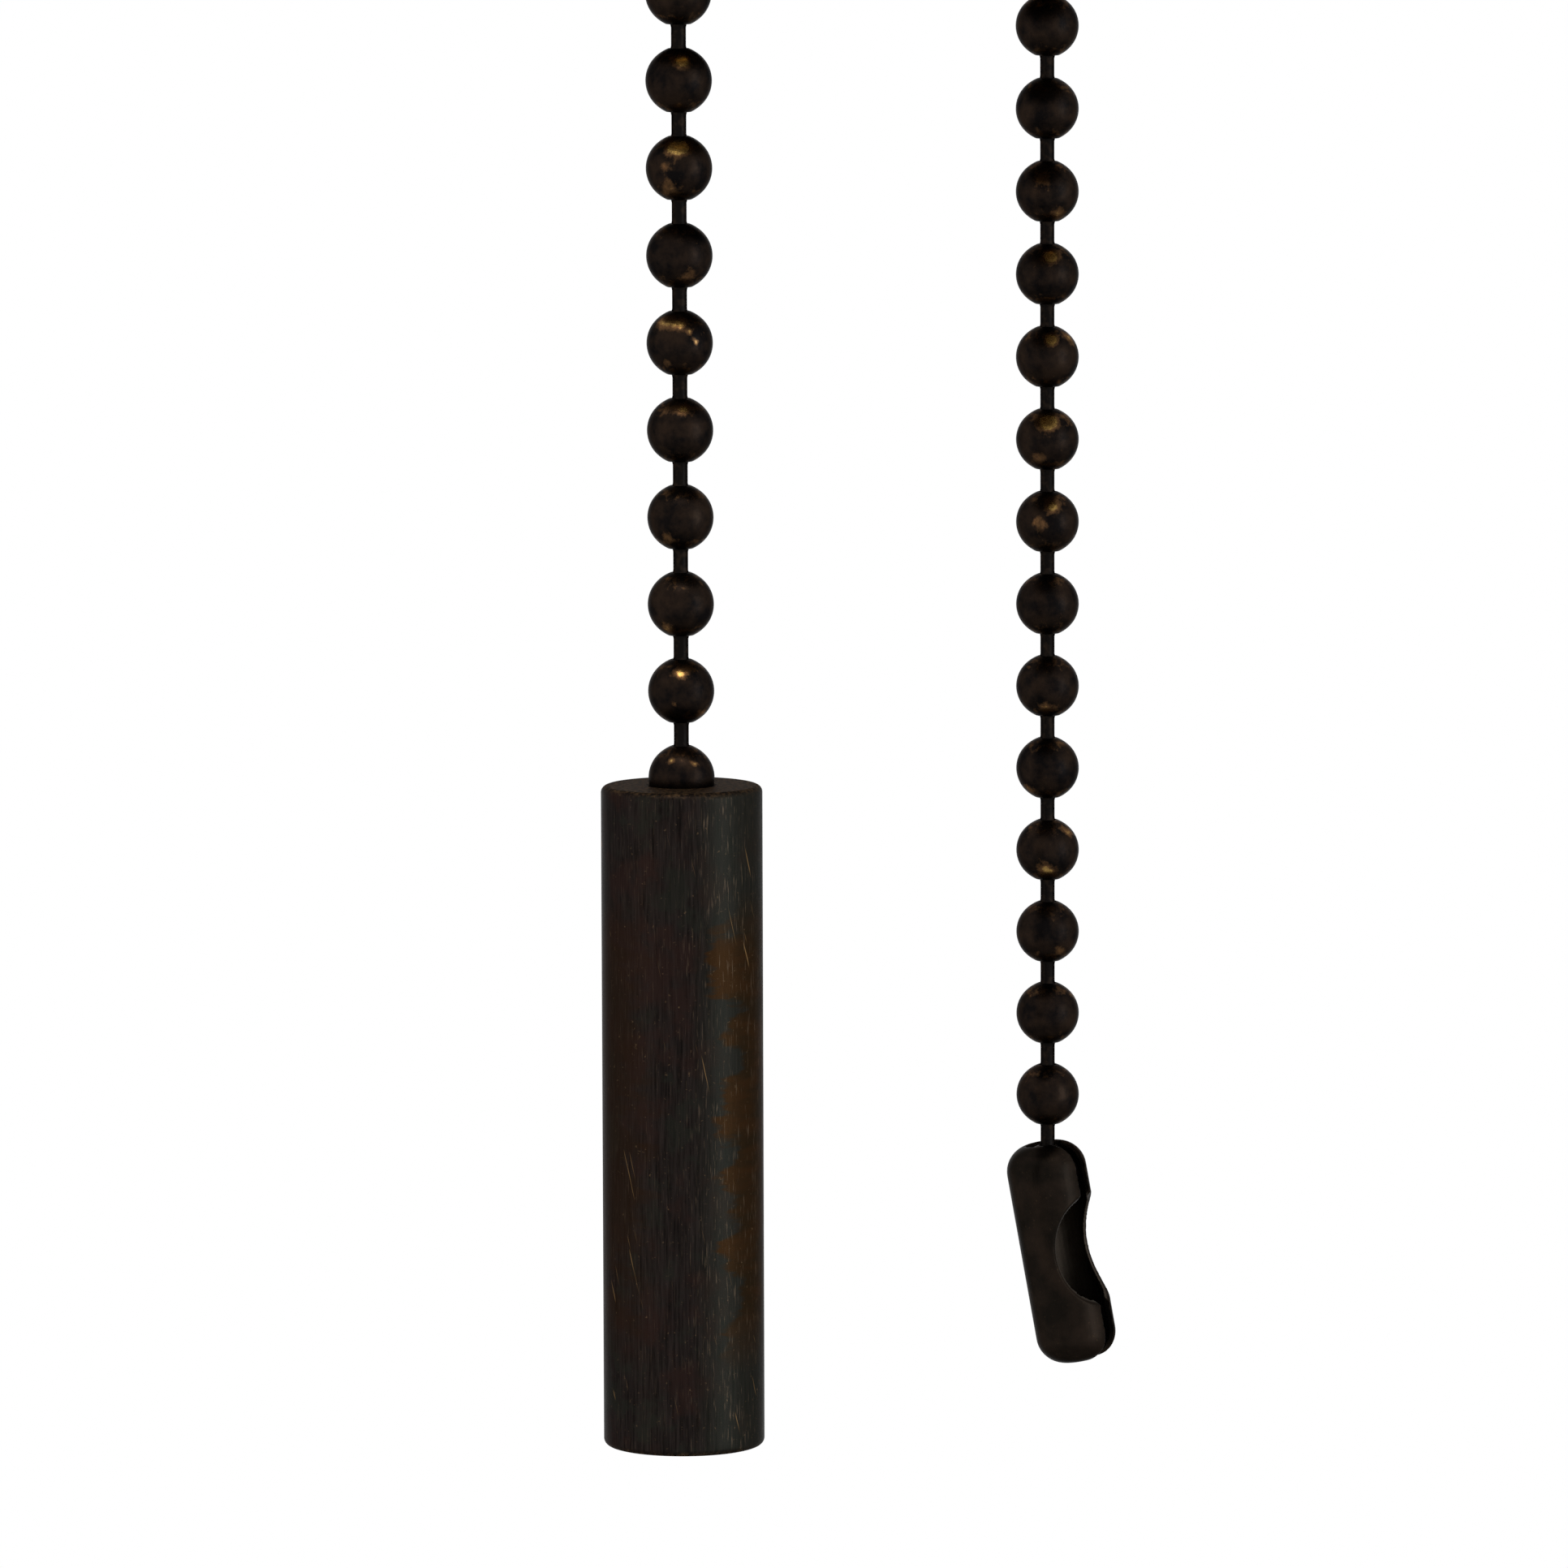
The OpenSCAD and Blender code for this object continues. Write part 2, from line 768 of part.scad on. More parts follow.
// a leaf beside the rotor with a wiper bump, on one side of the pin (side = 1 above, -1 below)
module leaf(x, side) {
    near = rotor_r + leaf_gap;
    translate([x, 0, pinion_z]) {
        low = side > 0 ? near : -near - leaf_t;
        block([0, pinion_y - leaf_reach, low], [leaf_w, case_in_y1, low + leaf_t]);
        translate([0, pinion_y, side * (rotor_r + wiper_r + wiper_gap)])
            rod_x(0, leaf_w, wiper_r);
    }
}

module terminal_plate(x) {
    difference() {
        block([x, case_in_y1 - terminal_l, case_top], [x + terminal_w, case_in_y1, case_top + terminal_t]);
        translate([x + terminal_w / 2, terminal_screw_y, 0])
            rod_z(case_top - eps, case_top + terminal_t + eps, terminal_shank_r);
    }
}

module riser(x, z0, z1) {
    block([x, riser_y, z0], [x + leaf_w, case_in_y1, z1]);
}

module riser_cuts() {
    for (x = [upper_leaf_x, lower_riser_x])
        block([x - hole_clear, riser_y - hole_clear, case_roof - eps],
            [x + leaf_w + hole_clear, case_in_y1, case_top + eps]);
}

module fixed_contacts() {
    reach = rotor_r + leaf_gap;
    color(brass) {
        union() {
            leaf(upper_leaf_x, 1);
            riser(upper_leaf_x, pinion_z + reach, case_top + eps);
            terminal_plate(terminal_x);
        }
        union() {
            leaf(lower_leaf_x, -1);
            riser(lower_leaf_x, pinion_z - reach - leaf_t, jog_z + jog_h);
            block([lower_riser_x, riser_y, jog_z], [lower_leaf_x + leaf_w, case_in_y1, jog_z + jog_h]);
            riser(lower_riser_x, jog_z, case_top + eps);
            terminal_plate(-terminal_x - terminal_w);
        }
    }
}

module terminal_screws() {
    color(zinc)
        at_both()
            for (s = [-1, 1])
                translate([s * screw_x, terminal_screw_y, case_top + terminal_t])
                    pan_screw(terminal_head_r, terminal_head_t, terminal_shank_r, terminal_t + case_wall - 0.2);
}

module pivot_pins() {
    play = 0.1;
    color(steel)
        at_both()
            translate([0, pinion_y, pinion_z])
                rod_x(case_in_x - pin_sink + play, case_x1 + pin_sink - play, pin_r);
}

// ---------- chains ----------

// hollow ball with a hole at the top and one at the bottom
module ball() {
    difference() {
        sphere(r = ball_r);
        sphere(r = ball_in_r);
        rod_z(-ball_r - eps, ball_r + eps, hole_r);
    }
}

// link from inside this ball to inside the ball below
module link() {
    rod_z(-pitch + link_seat, -link_seat, shank_r);
    for (z = [-link_seat, -pitch + link_seat])
        translate([0, 0, z])
            sphere(r = link_end_r);
}

module chain_unit() {
    ball();
    link();
}

module left_chain(i) {
    color(bronze)
        translate([-chain_spacing / 2, 0, left_first - (i - 1) * pitch]) {
            chain_unit();
            // the last link goes on into the pull, to the ball that holds it
            if (i == left_balls)
                translate([0, 0, -pitch])
                    ball();
        }
}

module right_chain(i) {
    color(bronze)
        translate([chain_spacing / 2, 0, right_first - (i - 1) * pitch]) {
            ball();
            if (i < right_balls)
                link();
        }
}

// ---------- pull and connector ----------

module pull_weight() {
    color(bronze_patina)
        translate([-chain_spacing / 2, 0, 0])
            difference() {
                rotate_extrude()
                    capsule_outline(pull_r, pull_top - pull_l, pull_top, pull_edge_r);
                translate([0, 0, left_last])
                    sphere(r = ball_r + ball_play);
                rod_z(anchor_z, left_last, pull_hole_r);
                rod_z(pull_top - pull_l - eps, pull_bore_top, pull_bore_r);
            }
}

module pull_plug() {
    color(dark_bronze)
        translate([-chain_spacing / 2, 0, 0])
            rod_z(pull_top - pull_l + plug_recess, pull_top - pull_l + plug_recess + plug_l, pull_bore_r);
}

module connector_tube() {
    difference() {
        rotate_extrude()
            capsule_outline(connector_r, connector_bottom, connector_top, connector_corner);
        rotate_extrude()
            capsule_outline(socket_r, connector_bottom + connector_wall, connector_top - connector_wall,
                connector_corner - connector_wall);
    }
}

// what is cut from the tube: end holes, slits and the window, all towards -X
module connector_cuts() {
    middle = (connector_top + connector_bottom) / 2;
    for (z = [connector_bottom, connector_top])
        rod_z(z - 1, z + 1, end_hole_r);
    block([-connector_r - 1, -slit_w / 2, connector_bottom - 1], [0, slit_w / 2, connector_top + 1]);
    translate([window_depth - connector_r - window_cut_r, 0, middle])
        rotate([90, 0, 0])
            cylinder(h = 3 * connector_r, r = window_cut_r, center = true);
}

module connector() {
    color(dark_bronze)
        translate([chain_spacing / 2, 0, right_last])
            rotate([0, 0, connector_lean])
                rotate([0, -connector_tilt, 0])
                    rotate([0, 0, window_facing + 180 - connector_lean])
                        difference() {
                            connector_tube();
                            connector_cuts();
                        }
}

// ---------- what is drawn ----------

base_plate();
cup();
cup_screws();
cable_grommet();
earth_screw();
ring_nuts();
lock_washers();
cover_rivets();
terminal_screws();
pivot_pins();
for (s = SIDES) {
    at_switch(s) case();
    at_switch(s) case_cover();
    at_switch(s) bushing();
    at_switch(s) plunger(s);
    chain_head(s);
    at_switch(s) return_spring();
    at_switch(s) pinion();
    at_switch(s) ratchet_rotor();
    at_switch(s) rotor_contact();
    at_switch(s) fixed_contacts();
}
for (i = [1 : left_balls])
    left_chain(i);
for (i = [1 : right_balls])
    right_chain(i);
pull_weight();
pull_plug();
connector();
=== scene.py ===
"""A twin pull-cord switch in oil-rubbed bronze, hanging from a ceiling.

A ceiling cup hides two switches. Their ball chains hang through it: the left one ends in a
brushed cylindrical pull, the right one in an open chain connector. Lengths are millimetres
in the frame's own axes, and turn into metres where a mesh, a lamp or the camera is made.
"""

import json
import math

import bmesh
import bpy
import numpy as np
from mathutils import Matrix, Vector


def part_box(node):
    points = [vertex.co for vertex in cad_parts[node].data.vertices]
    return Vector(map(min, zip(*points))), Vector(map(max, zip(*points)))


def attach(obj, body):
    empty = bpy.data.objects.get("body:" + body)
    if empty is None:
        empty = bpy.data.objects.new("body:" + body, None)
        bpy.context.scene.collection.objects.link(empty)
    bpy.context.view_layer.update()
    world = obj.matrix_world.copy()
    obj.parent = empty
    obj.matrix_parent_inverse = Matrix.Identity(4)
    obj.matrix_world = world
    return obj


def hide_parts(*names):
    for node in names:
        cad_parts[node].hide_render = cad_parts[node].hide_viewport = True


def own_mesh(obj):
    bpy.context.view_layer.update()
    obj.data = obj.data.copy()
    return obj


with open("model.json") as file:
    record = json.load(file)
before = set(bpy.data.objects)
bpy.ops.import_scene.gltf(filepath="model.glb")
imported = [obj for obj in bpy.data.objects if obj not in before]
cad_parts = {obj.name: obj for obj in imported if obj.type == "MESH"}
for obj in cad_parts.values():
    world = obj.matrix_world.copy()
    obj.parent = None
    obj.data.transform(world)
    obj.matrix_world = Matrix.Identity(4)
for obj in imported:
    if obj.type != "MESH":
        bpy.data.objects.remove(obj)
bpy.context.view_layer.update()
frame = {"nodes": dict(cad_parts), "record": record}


# ---------------------------------------------------------------- camera
# A long lens stands half a metre off, a little above the pull's top, and looks past the left
# chain to the right one.

MM = 0.001
LENS = 259.4
SENSOR = 36.0
DISTANCE = 545.0
AZIMUTH = math.radians(-59.3)
ELEVATION = math.radians(6.6)
ROLL = math.radians(-0.18)
AIM_RIGHT = 4.94
AIM_UP = 0.03


def node_corners(node):
    """Lowest and highest corner of a CAD node, in millimetres."""
    low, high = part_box(node)
    return np.array(low) / MM, np.array(high) / MM


pull_low, pull_high = node_corners("pull_weight")
pull_top = np.array([(pull_low[0] + pull_high[0]) / 2, (pull_low[1] + pull_high[1]) / 2, pull_high[2]])
to_right = np.array([math.cos(AZIMUTH), math.sin(AZIMUTH), 0.0])
to_back = np.array([-math.sin(AZIMUTH), math.cos(AZIMUTH), 0.0])
to_camera = -to_back * math.cos(ELEVATION) + np.array([0.0, 0.0, math.sin(ELEVATION)])
aim = pull_top + to_right * AIM_RIGHT + np.array([0.0, 0.0, AIM_UP])

lens = bpy.data.cameras.new("camera")
lens.lens = LENS
lens.sensor_width = SENSOR
lens.clip_start = 0.01
lens.clip_end = 50.0
camera = bpy.data.objects.new("camera", lens)
bpy.context.scene.collection.objects.link(camera)
looking = Vector(-to_camera).to_track_quat("-Z", "Y").to_matrix() @ Matrix.Rotation(ROLL, 3, "Z")
camera.matrix_world = Matrix.Translation(Vector((aim + to_camera * DISTANCE) * MM)) @ looking.to_4x4()
bpy.context.scene.camera = camera
bpy.context.scene.view_settings.view_transform = "Standard"


# ---------------------------------------------------------------- base plate and its screws
# The plate that is screwed to the ceiling box is pressed from mild steel sheet. It is zinc
# plated, and so are the steel terminal screws.

def linear(code):
    """Linear RGBA of an sRGB colour written as #RRGGBB."""
    parts = [int(code[i:i + 2], 16) / 255 for i in (1, 3, 5)]
    return (*[c / 12.92 if c <= 0.04045 else ((c + 0.055) / 1.055) ** 2.4 for c in parts], 1.0)


def add(tree, kind, settings, sockets):
    """One new node: settings are its properties, and each socket gets a value or the output that feeds it."""
    made = tree.nodes.new("ShaderNode" + kind)
    for name, value in settings.items():
        setattr(made, name, value)
    for key, value in sockets.items():
        if isinstance(value, bpy.types.NodeSocket):
            tree.links.new(value, made.inputs[key])
        else:
            made.inputs[key].default_value = value
    return made


def new_material(name):
    """An empty material, its tree, and the place on the piece in millimetres."""
    made = bpy.data.materials.new(name)
    made.use_nodes = True
    tree = made.node_tree
    tree.nodes.clear()
    metres = add(tree, "TexCoord", {}, {}).outputs["Object"]
    place = add(tree, "Mapping", {}, {"Vector": metres, "Scale": (1 / MM, 1 / MM, 1 / MM)}).outputs[0]
    return made, tree, place


def clothe(nodes, skin):
    """Gives CAD nodes their real material."""
    for node in nodes:
        frame["nodes"][node].data.materials.clear()
        frame["nodes"][node].data.materials.append(skin)


# Zinc plate is a light bluish grey, satin, with crystals about 2 mm across just to be seen.
zinc, tree, place = new_material("zinc_plated_steel")
crystals = add(tree, "TexVoronoi", {}, {"Vector": place, "Scale": 0.5}).outputs["Color"]
shade = add(tree, "RGBToBW", {}, {"Color": crystals}).outputs[0]
haze = add(tree, "TexNoise", {}, {"Vector": place, "Scale": 1.4, "Detail": 4.0}).outputs[0]
both = add(tree, "Math", {"operation": "ADD"}, {0: shade, 1: haze}).outputs[0]
light = add(tree, "MapRange", {}, {"Value": both, "From Min": 0.5, "From Max": 1.4}).outputs[0]
colour = add(tree, "Mix", {"data_type": "RGBA"},
             {0: light, 6: linear("#979C9D"), 7: linear("#AFB4B4")}).outputs[2]
dull = add(tree, "MapRange", {},
           {"Value": haze, "From Min": 0.3, "From Max": 0.7, "To Min": 0.3, "To Max": 0.48})
bump = add(tree, "Bump", {}, {"Height": haze, "Distance": 0.01 * MM, "Strength": 0.25}).outputs[0]
metal = add(tree, "BsdfPrincipled", {}, {"Base Color": colour, "Metallic": 1.0, "Roughness": dull.outputs[0],
                                        "Normal": bump})
add(tree, "OutputMaterial", {}, {"Surface": metal.outputs[0]})

clothe(["base_plate", "terminal_screws"], zinc)


# ---------------------------------------------------------------- ceiling cup, its screws and nuts
# The cup is spun from brass sheet and chemically browned, then its high spots are rubbed.
# Three dark screws hold it to the plate's tabs, and notched ring nuts hold the switches in it.

# Browned brass is near black with a warm undertone, satin, clouded over about a centimetre.
browned, tree, place = new_material("browned_brass_cup")
clouds = add(tree, "TexNoise", {},
             {"Vector": place, "Scale": 0.11, "Detail": 5.0, "Roughness": 0.6}).outputs[0]
grain = add(tree, "TexNoise", {}, {"Vector": place, "Scale": 5.0, "Detail": 3.0}).outputs[0]
warm = add(tree, "MapRange", {}, {"Value": clouds, "From Min": 0.36, "From Max": 0.66}).outputs[0]
ground = add(tree, "Mix", {"data_type": "RGBA"},
             {0: warm, 6: linear("#2B221C"), 7: linear("#453122")}).outputs[2]
rubbed = add(tree, "MapRange", {},
             {"Value": grain, "From Min": 0.62, "From Max": 0.78, "To Max": 0.5}).outputs[0]
colour = add(tree, "Mix", {"data_type": "RGBA"}, {0: rubbed, 6: ground, 7: linear("#7A5A36")}).outputs[2]
dull = add(tree, "MapRange", {},
           {"Value": clouds, "From Min": 0.3, "From Max": 0.7, "To Min": 0.34, "To Max": 0.5})
bump = add(tree, "Bump", {}, {"Height": grain, "Distance": 0.01 * MM, "Strength": 0.3}).outputs[0]
metal = add(tree, "BsdfPrincipled", {}, {"Base Color": colour, "Metallic": 1.0, "Roughness": dull.outputs[0],
                                        "Specular Tint": (0.5, 0.5, 0.5, 1.0), "Normal": bump})
add(tree, "OutputMaterial", {}, {"Surface": metal.outputs[0]})

clothe(["cup"], browned)

# Screws and nuts are turned from brass bar, with tool lines 0.2 mm apart, then browned.
hardware, tree, place = new_material("browned_brass_hardware")
lines = add(tree, "Mapping", {}, {"Vector": place, "Scale": (0.5, 0.5, 5.0)}).outputs[0]
turning = add(tree, "TexNoise", {}, {"Vector": lines, "Scale": 1.0, "Detail": 3.0}).outputs[0]
stain = add(tree, "TexNoise", {}, {"Vector": place, "Scale": 0.9, "Detail": 4.0}).outputs[0]
warm = add(tree, "MapRange", {}, {"Value": stain, "From Min": 0.38, "From Max": 0.66}).outputs[0]
colour = add(tree, "Mix", {"data_type": "RGBA"},
             {0: warm, 6: linear("#241D18"), 7: linear("#4A3726")}).outputs[2]
dull = add(tree, "MapRange", {},
           {"Value": turning, "From Min": 0.3, "From Max": 0.7, "To Min": 0.3, "To Max": 0.45})
bump = add(tree, "Bump", {}, {"Height": turning, "Distance": 0.01 * MM, "Strength": 0.3}).outputs[0]
metal = add(tree, "BsdfPrincipled", {}, {"Base Color": colour, "Metallic": 1.0, "Roughness": dull.outputs[0],
                                        "Specular Tint": (0.5, 0.5, 0.5, 1.0), "Normal": bump})
add(tree, "OutputMaterial", {}, {"Surface": metal.outputs[0]})

clothe(["cup_screws", "ring_nuts"], hardware)


# ---------------------------------------------------------------- cable grommet
# The grommet is a moulded EPDM rubber ring, pushed into the plate's cable hole so that the
# sheet's edge doesn't cut the cable.

# Rubber is a flat soft black with a dusty bloom in patches of a millimetre or two.
rubber, tree, place = new_material("moulded_rubber")
bloom = add(tree, "TexNoise", {}, {"Vector": place, "Scale": 0.7, "Detail": 4.0, "Roughness": 0.6}).outputs[0]
skin_grain = add(tree, "TexNoise", {}, {"Vector": place, "Scale": 8.0, "Detail": 2.0}).outputs[0]
dust = add(tree, "MapRange", {}, {"Value": bloom, "From Min": 0.4, "From Max": 0.7}).outputs[0]
colour = add(tree, "Mix", {"data_type": "RGBA"},
             {0: dust, 6: linear("#1B1B1B"), 7: linear("#2E2D2C")}).outputs[2]
dull = add(tree, "MapRange", {},
           {"Value": bloom, "From Min": 0.3, "From Max": 0.7, "To Min": 0.6, "To Max": 0.8})
bump = add(tree, "Bump", {}, {"Height": skin_grain, "Distance": 0.02 * MM, "Strength": 0.3}).outputs[0]
soft = add(tree, "BsdfPrincipled", {}, {"Base Color": colour, "Roughness": dull.outputs[0], "Normal": bump})
add(tree, "OutputMaterial", {}, {"Surface": soft.outputs[0]})

clothe(["cable_grommet"], rubber)


# ---------------------------------------------------------------- switch cases and moving blocks
# Case, cover, plunger and ratchet rotor of each switch are moulded from dark brown phenolic.
# The case holds the rest, and its cover is riveted on.

# Phenolic is a glossy red-brown with the wood filler's flecks, about 0.3 mm, near the surface.
phenolic, tree, place = new_material("moulded_phenolic")
flecks = add(tree, "TexNoise", {},
             {"Vector": place, "Scale": 3.5, "Detail": 4.0, "Roughness": 0.7}).outputs[0]
stretched = add(tree, "Mapping", {}, {"Vector": place, "Scale": (0.15, 0.15, 0.5)}).outputs[0]
flow = add(tree, "TexNoise", {}, {"Vector": stretched, "Scale": 1.0, "Detail": 2.0}).outputs[0]
swirl = add(tree, "MapRange", {}, {"Value": flow, "From Min": 0.35, "From Max": 0.65}).outputs[0]
ground = add(tree, "Mix", {"data_type": "RGBA"},
             {0: swirl, 6: linear("#2E1C14"), 7: linear("#40281C")}).outputs[2]
shown = add(tree, "MapRange", {}, {"Value": flecks, "From Min": 0.6, "From Max": 0.72}).outputs[0]
colour = add(tree, "Mix", {"data_type": "RGBA"}, {0: shown, 6: ground, 7: linear("#5E402D")}).outputs[2]
dull = add(tree, "MapRange", {},
           {"Value": flecks, "From Min": 0.3, "From Max": 0.7, "To Min": 0.25, "To Max": 0.4})
bump = add(tree, "Bump", {}, {"Height": flecks, "Distance": 0.01 * MM, "Strength": 0.2}).outputs[0]
resin = add(tree, "BsdfPrincipled", {}, {"Base Color": colour, "Roughness": dull.outputs[0], "Normal": bump})
add(tree, "OutputMaterial", {}, {"Surface": resin.outputs[0]})

clothe([side + part for side in ("left", "right") for part in ("_case", "_case_cover", "_plunger",
                                                               "_ratchet_rotor")], phenolic)


# ---------------------------------------------------------------- springs, washers and pins
# The return springs are wound from hard-drawn steel wire. Lock washers and pivot pins are
# the same steel, tumbled bright.

# Drawn steel is a mid grey with a clear shine and faint draw marks 0.15 mm across.
steel, tree, place = new_material("drawn_spring_steel")
draw = add(tree, "TexNoise", {}, {"Vector": place, "Scale": 6.5, "Detail": 4.0, "Roughness": 0.6}).outputs[0]
light = add(tree, "MapRange", {}, {"Value": draw, "From Min": 0.3, "From Max": 0.7}).outputs[0]
colour = add(tree, "Mix", {"data_type": "RGBA"},
             {0: light, 6: linear("#77787A"), 7: linear("#A2A4A6")}).outputs[2]
dull = add(tree, "MapRange", {},
           {"Value": draw, "From Min": 0.3, "From Max": 0.7, "To Min": 0.2, "To Max": 0.34})
bump = add(tree, "Bump", {}, {"Height": draw, "Distance": 0.006 * MM, "Strength": 0.25}).outputs[0]
metal = add(tree, "BsdfPrincipled", {}, {"Base Color": colour, "Metallic": 1.0, "Roughness": dull.outputs[0],
                                        "Normal": bump})
add(tree, "OutputMaterial", {}, {"Surface": metal.outputs[0]})

clothe(["lock_washers", "pivot_pins"], steel)

SPRING_WIRE_R = 0.25
SPRING_TURNS = 7
RINGS_PER_TURN = 48
SPRING_WIRE_SIDES = 12
# points closer than this, in metres, are one
MERGE = 1e-7


def grid_piece(name, points, faces, skin):
    """A finished piece from a grid of points in millimetres: doubles merged, faces outwards, smooth."""
    mesh = bpy.data.meshes.new(name)
    mesh.from_pydata((points.reshape(-1, 3) * MM).tolist(), [], faces)
    work = bmesh.new()
    work.from_mesh(mesh)
    bmesh.ops.remove_doubles(work, verts=work.verts, dist=MERGE)
    bmesh.ops.recalc_face_normals(work, faces=work.faces)
    work.to_mesh(mesh)
    work.free()
    mesh.shade_smooth()
    mesh.materials.append(skin)
    made = bpy.data.objects.new(name, mesh)
    bpy.context.scene.collection.objects.link(made)
    return made


def coil(name, node, skin):
    """A wound spring in a node's place: a round wire carried along a helix about a vertical line.

    At turn angle a and wire angle s the surface lies at radius + w cos s from the line and at
    the helix's height + w sin s, with w the wire's radius. One face closes each end.
    """
    low, high = node_corners(node)
    rings, sides = RINGS_PER_TURN * SPRING_TURNS + 1, SPRING_WIRE_SIDES
    rise = np.linspace(0.0, 1.0, rings)[:, None]
    a, s = rise * SPRING_TURNS * 2 * math.pi, np.arange(sides)[None, :] * 2 * math.pi / sides
    out = (high[0] - low[0]) / 2 - SPRING_WIRE_R + SPRING_WIRE_R * np.cos(s)
    climb = high[2] - low[2] - 2 * SPRING_WIRE_R
    height = low[2] + SPRING_WIRE_R + rise * climb + SPRING_WIRE_R * np.sin(s)
    middle = (low + high) / 2
    points = np.stack([middle[0] + out * np.cos(a), middle[1] + out * np.sin(a), height], axis=2)
    i, j = np.meshgrid(np.arange(rings - 1), np.arange(sides), indexing="ij")
    beside = (j + 1) % sides
    walls = np.stack([i * sides + j, i * sides + beside,
                      (i + 1) * sides + beside, (i + 1) * sides + j], axis=2)
    ends = np.stack([np.arange(sides), np.arange(sides) + (rings - 1) * sides])
    return grid_piece(name, points, walls.reshape(-1, 4).tolist() + ends.tolist(), skin)


# a spring stands on its bushing's flange
for side in ("left", "right"):
    spring = coil(side + "_return_spring_coil", side + "_return_spring", steel)
    low, high = node_corners(side + "_return_spring")
    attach(spring, "housing")
    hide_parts(side + "_return_spring")
    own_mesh(spring)


# ---------------------------------------------------------------- bushings, contacts, rivets, pinions
# Bushings and pinions are turned and cut from brass bar, contacts are pressed from brass
# strip, and the rivets and the earth screw are brass too.

# Bare brass is a clear yellow, dulled brown in clouds of 3 to 4 mm, with fine tool marks.
brass, tree, place = new_material("turned_brass")
tarnish = add(tree, "TexNoise", {}, {"Vector": place, "Scale": 0.28, "Detail": 3.0}).outputs[0]
marks = add(tree, "TexNoise", {}, {"Vector": place, "Scale": 4.0, "Detail": 4.0, "Roughness": 0.6}).outputs[0]
both = add(tree, "Math", {"operation": "ADD"}, {0: tarnish, 1: marks}).outputs[0]
clean = add(tree, "MapRange", {}, {"Value": both, "From Min": 0.75, "From Max": 1.25}).outputs[0]
colour = add(tree, "Mix", {"data_type": "RGBA"},
             {0: clean, 6: linear("#8E6C34"), 7: linear("#CBA65A")}).outputs[2]
dull = add(tree, "MapRange", {},
           {"Value": marks, "From Min": 0.3, "From Max": 0.7, "To Min": 0.22, "To Max": 0.36})
bump = add(tree, "Bump", {}, {"Height": marks, "Distance": 0.006 * MM, "Strength": 0.25}).outputs[0]
metal = add(tree, "BsdfPrincipled", {}, {"Base Color": colour, "Metallic": 1.0, "Roughness": dull.outputs[0],
                                        "Normal": bump})
add(tree, "OutputMaterial", {}, {"Surface": metal.outputs[0]})

clothe(["earth_screw", "cover_rivets"], brass)
clothe([side + part for side in ("left", "right") for part in ("_bushing", "_pinion", "_fixed_contacts",
                                                               "_rotor_contact")], brass)


# ---------------------------------------------------------------- chain beads
# A bead is a thin hollow ball rolled up from brass strip, drawn out a little where the links
# enter. It is blackened and worn in stray spots. Its shoulders by the holes are painted
# lighter, and gold and orange-brown highlights and reflections are painted on its lit side.

HOLE_R = 0.52
COLLAR_R = 0.50
LIP_R = 0.62
WALL = 0.25
DRAWN = 0.055
OUTER_ROWS = 46
INNER_ROWS = 14
BEAD_AROUND = 72
# rows round the lower and the upper hole: radius, and height over the outside's nearest row
LOWER_LIP = [(LIP_R - 0.03, -0.012), (LIP_R - 0.07, -0.012), (HOLE_R, 0.03)]
UPPER_LIP = [(COLLAR_R - 0.04, -0.05), (COLLAR_R - 0.03, 0.005)]

bead_low, bead_high = node_corners("right_chain_16")
BEAD_R = (bead_high[0] - bead_low[0]) / 2
INNER_R = BEAD_R - WALL


def bead_profile():
    """Outline of a bead as rows of (radius, height).

    The outside is the arc (R sin t, R cos t), with t the angle from the top, and each pole is
    drawn out by DRAWN times cos(t) to the 14th. A lip round each hole leads to the inner arc.
    """
    t = np.linspace(math.asin(COLLAR_R / BEAD_R), math.pi - math.asin(LIP_R / BEAD_R), OUTER_ROWS)
    drawn = DRAWN * np.abs(np.cos(t)) ** 14 * np.sign(np.cos(t))
    outer = np.column_stack([BEAD_R * np.sin(t), BEAD_R * np.cos(t) + drawn])
    lower_lip = np.array(LOWER_LIP) + [0, outer[-1, 1]]
    hole = math.asin(HOLE_R / INNER_R)
    t = np.linspace(math.pi - hole, hole, INNER_ROWS)
    inner = np.column_stack([INNER_R * np.sin(t), INNER_R * np.cos(t)])
    upper_lip = np.array(UPPER_LIP) + [0, outer[0, 1]]
    return np.vstack([outer, lower_lip, inner, upper_lip])


def turned(name, profile, centre, around, ring, skin):
    """A turned piece: a profile carried round a vertical line through centre.

    Row (r, h) of the profile at angle a lies at centre + (r cos a, r sin a, h), with a going
    once round in equal steps. Where ring is true the profile's last row joins its first.
    """
    a = np.arange(around) * 2 * math.pi / around
    circle = np.stack([np.cos(a), np.sin(a)], axis=1)
    flat = profile[:, None, 0, None] * circle[None, :, :]
    height = np.broadcast_to(profile[:, 1, None, None], (len(profile), around, 1))
    points = np.concatenate([flat, height], axis=2).reshape(-1, 3) + centre
    steps = len(profile) if ring else len(profile) - 1
    i, j = np.meshgrid(np.arange(steps), np.arange(around), indexing="ij")
    above, beside = (i + 1) % len(profile), (j + 1) % around
    faces = np.stack([i * around + j, i * around + beside,
                      above * around + beside, above * around + j], axis=2)
    return grid_piece(name, points, faces.reshape(-1, 4).tolist(), skin)


def paint(piece, name, rule):
    """Stores rule(x, y, z) of every point, in millimetres, as an attribute of the mesh."""
    mesh = piece.data
    points = np.empty(len(mesh.vertices) * 3)
    mesh.vertices.foreach_get("co", points)
    x, y, z = (points.reshape(-1, 3) / MM).T
    mesh.attributes.new(name, "FLOAT", "POINT").data.foreach_set("value", rule(x, y, z).astype(np.float32))
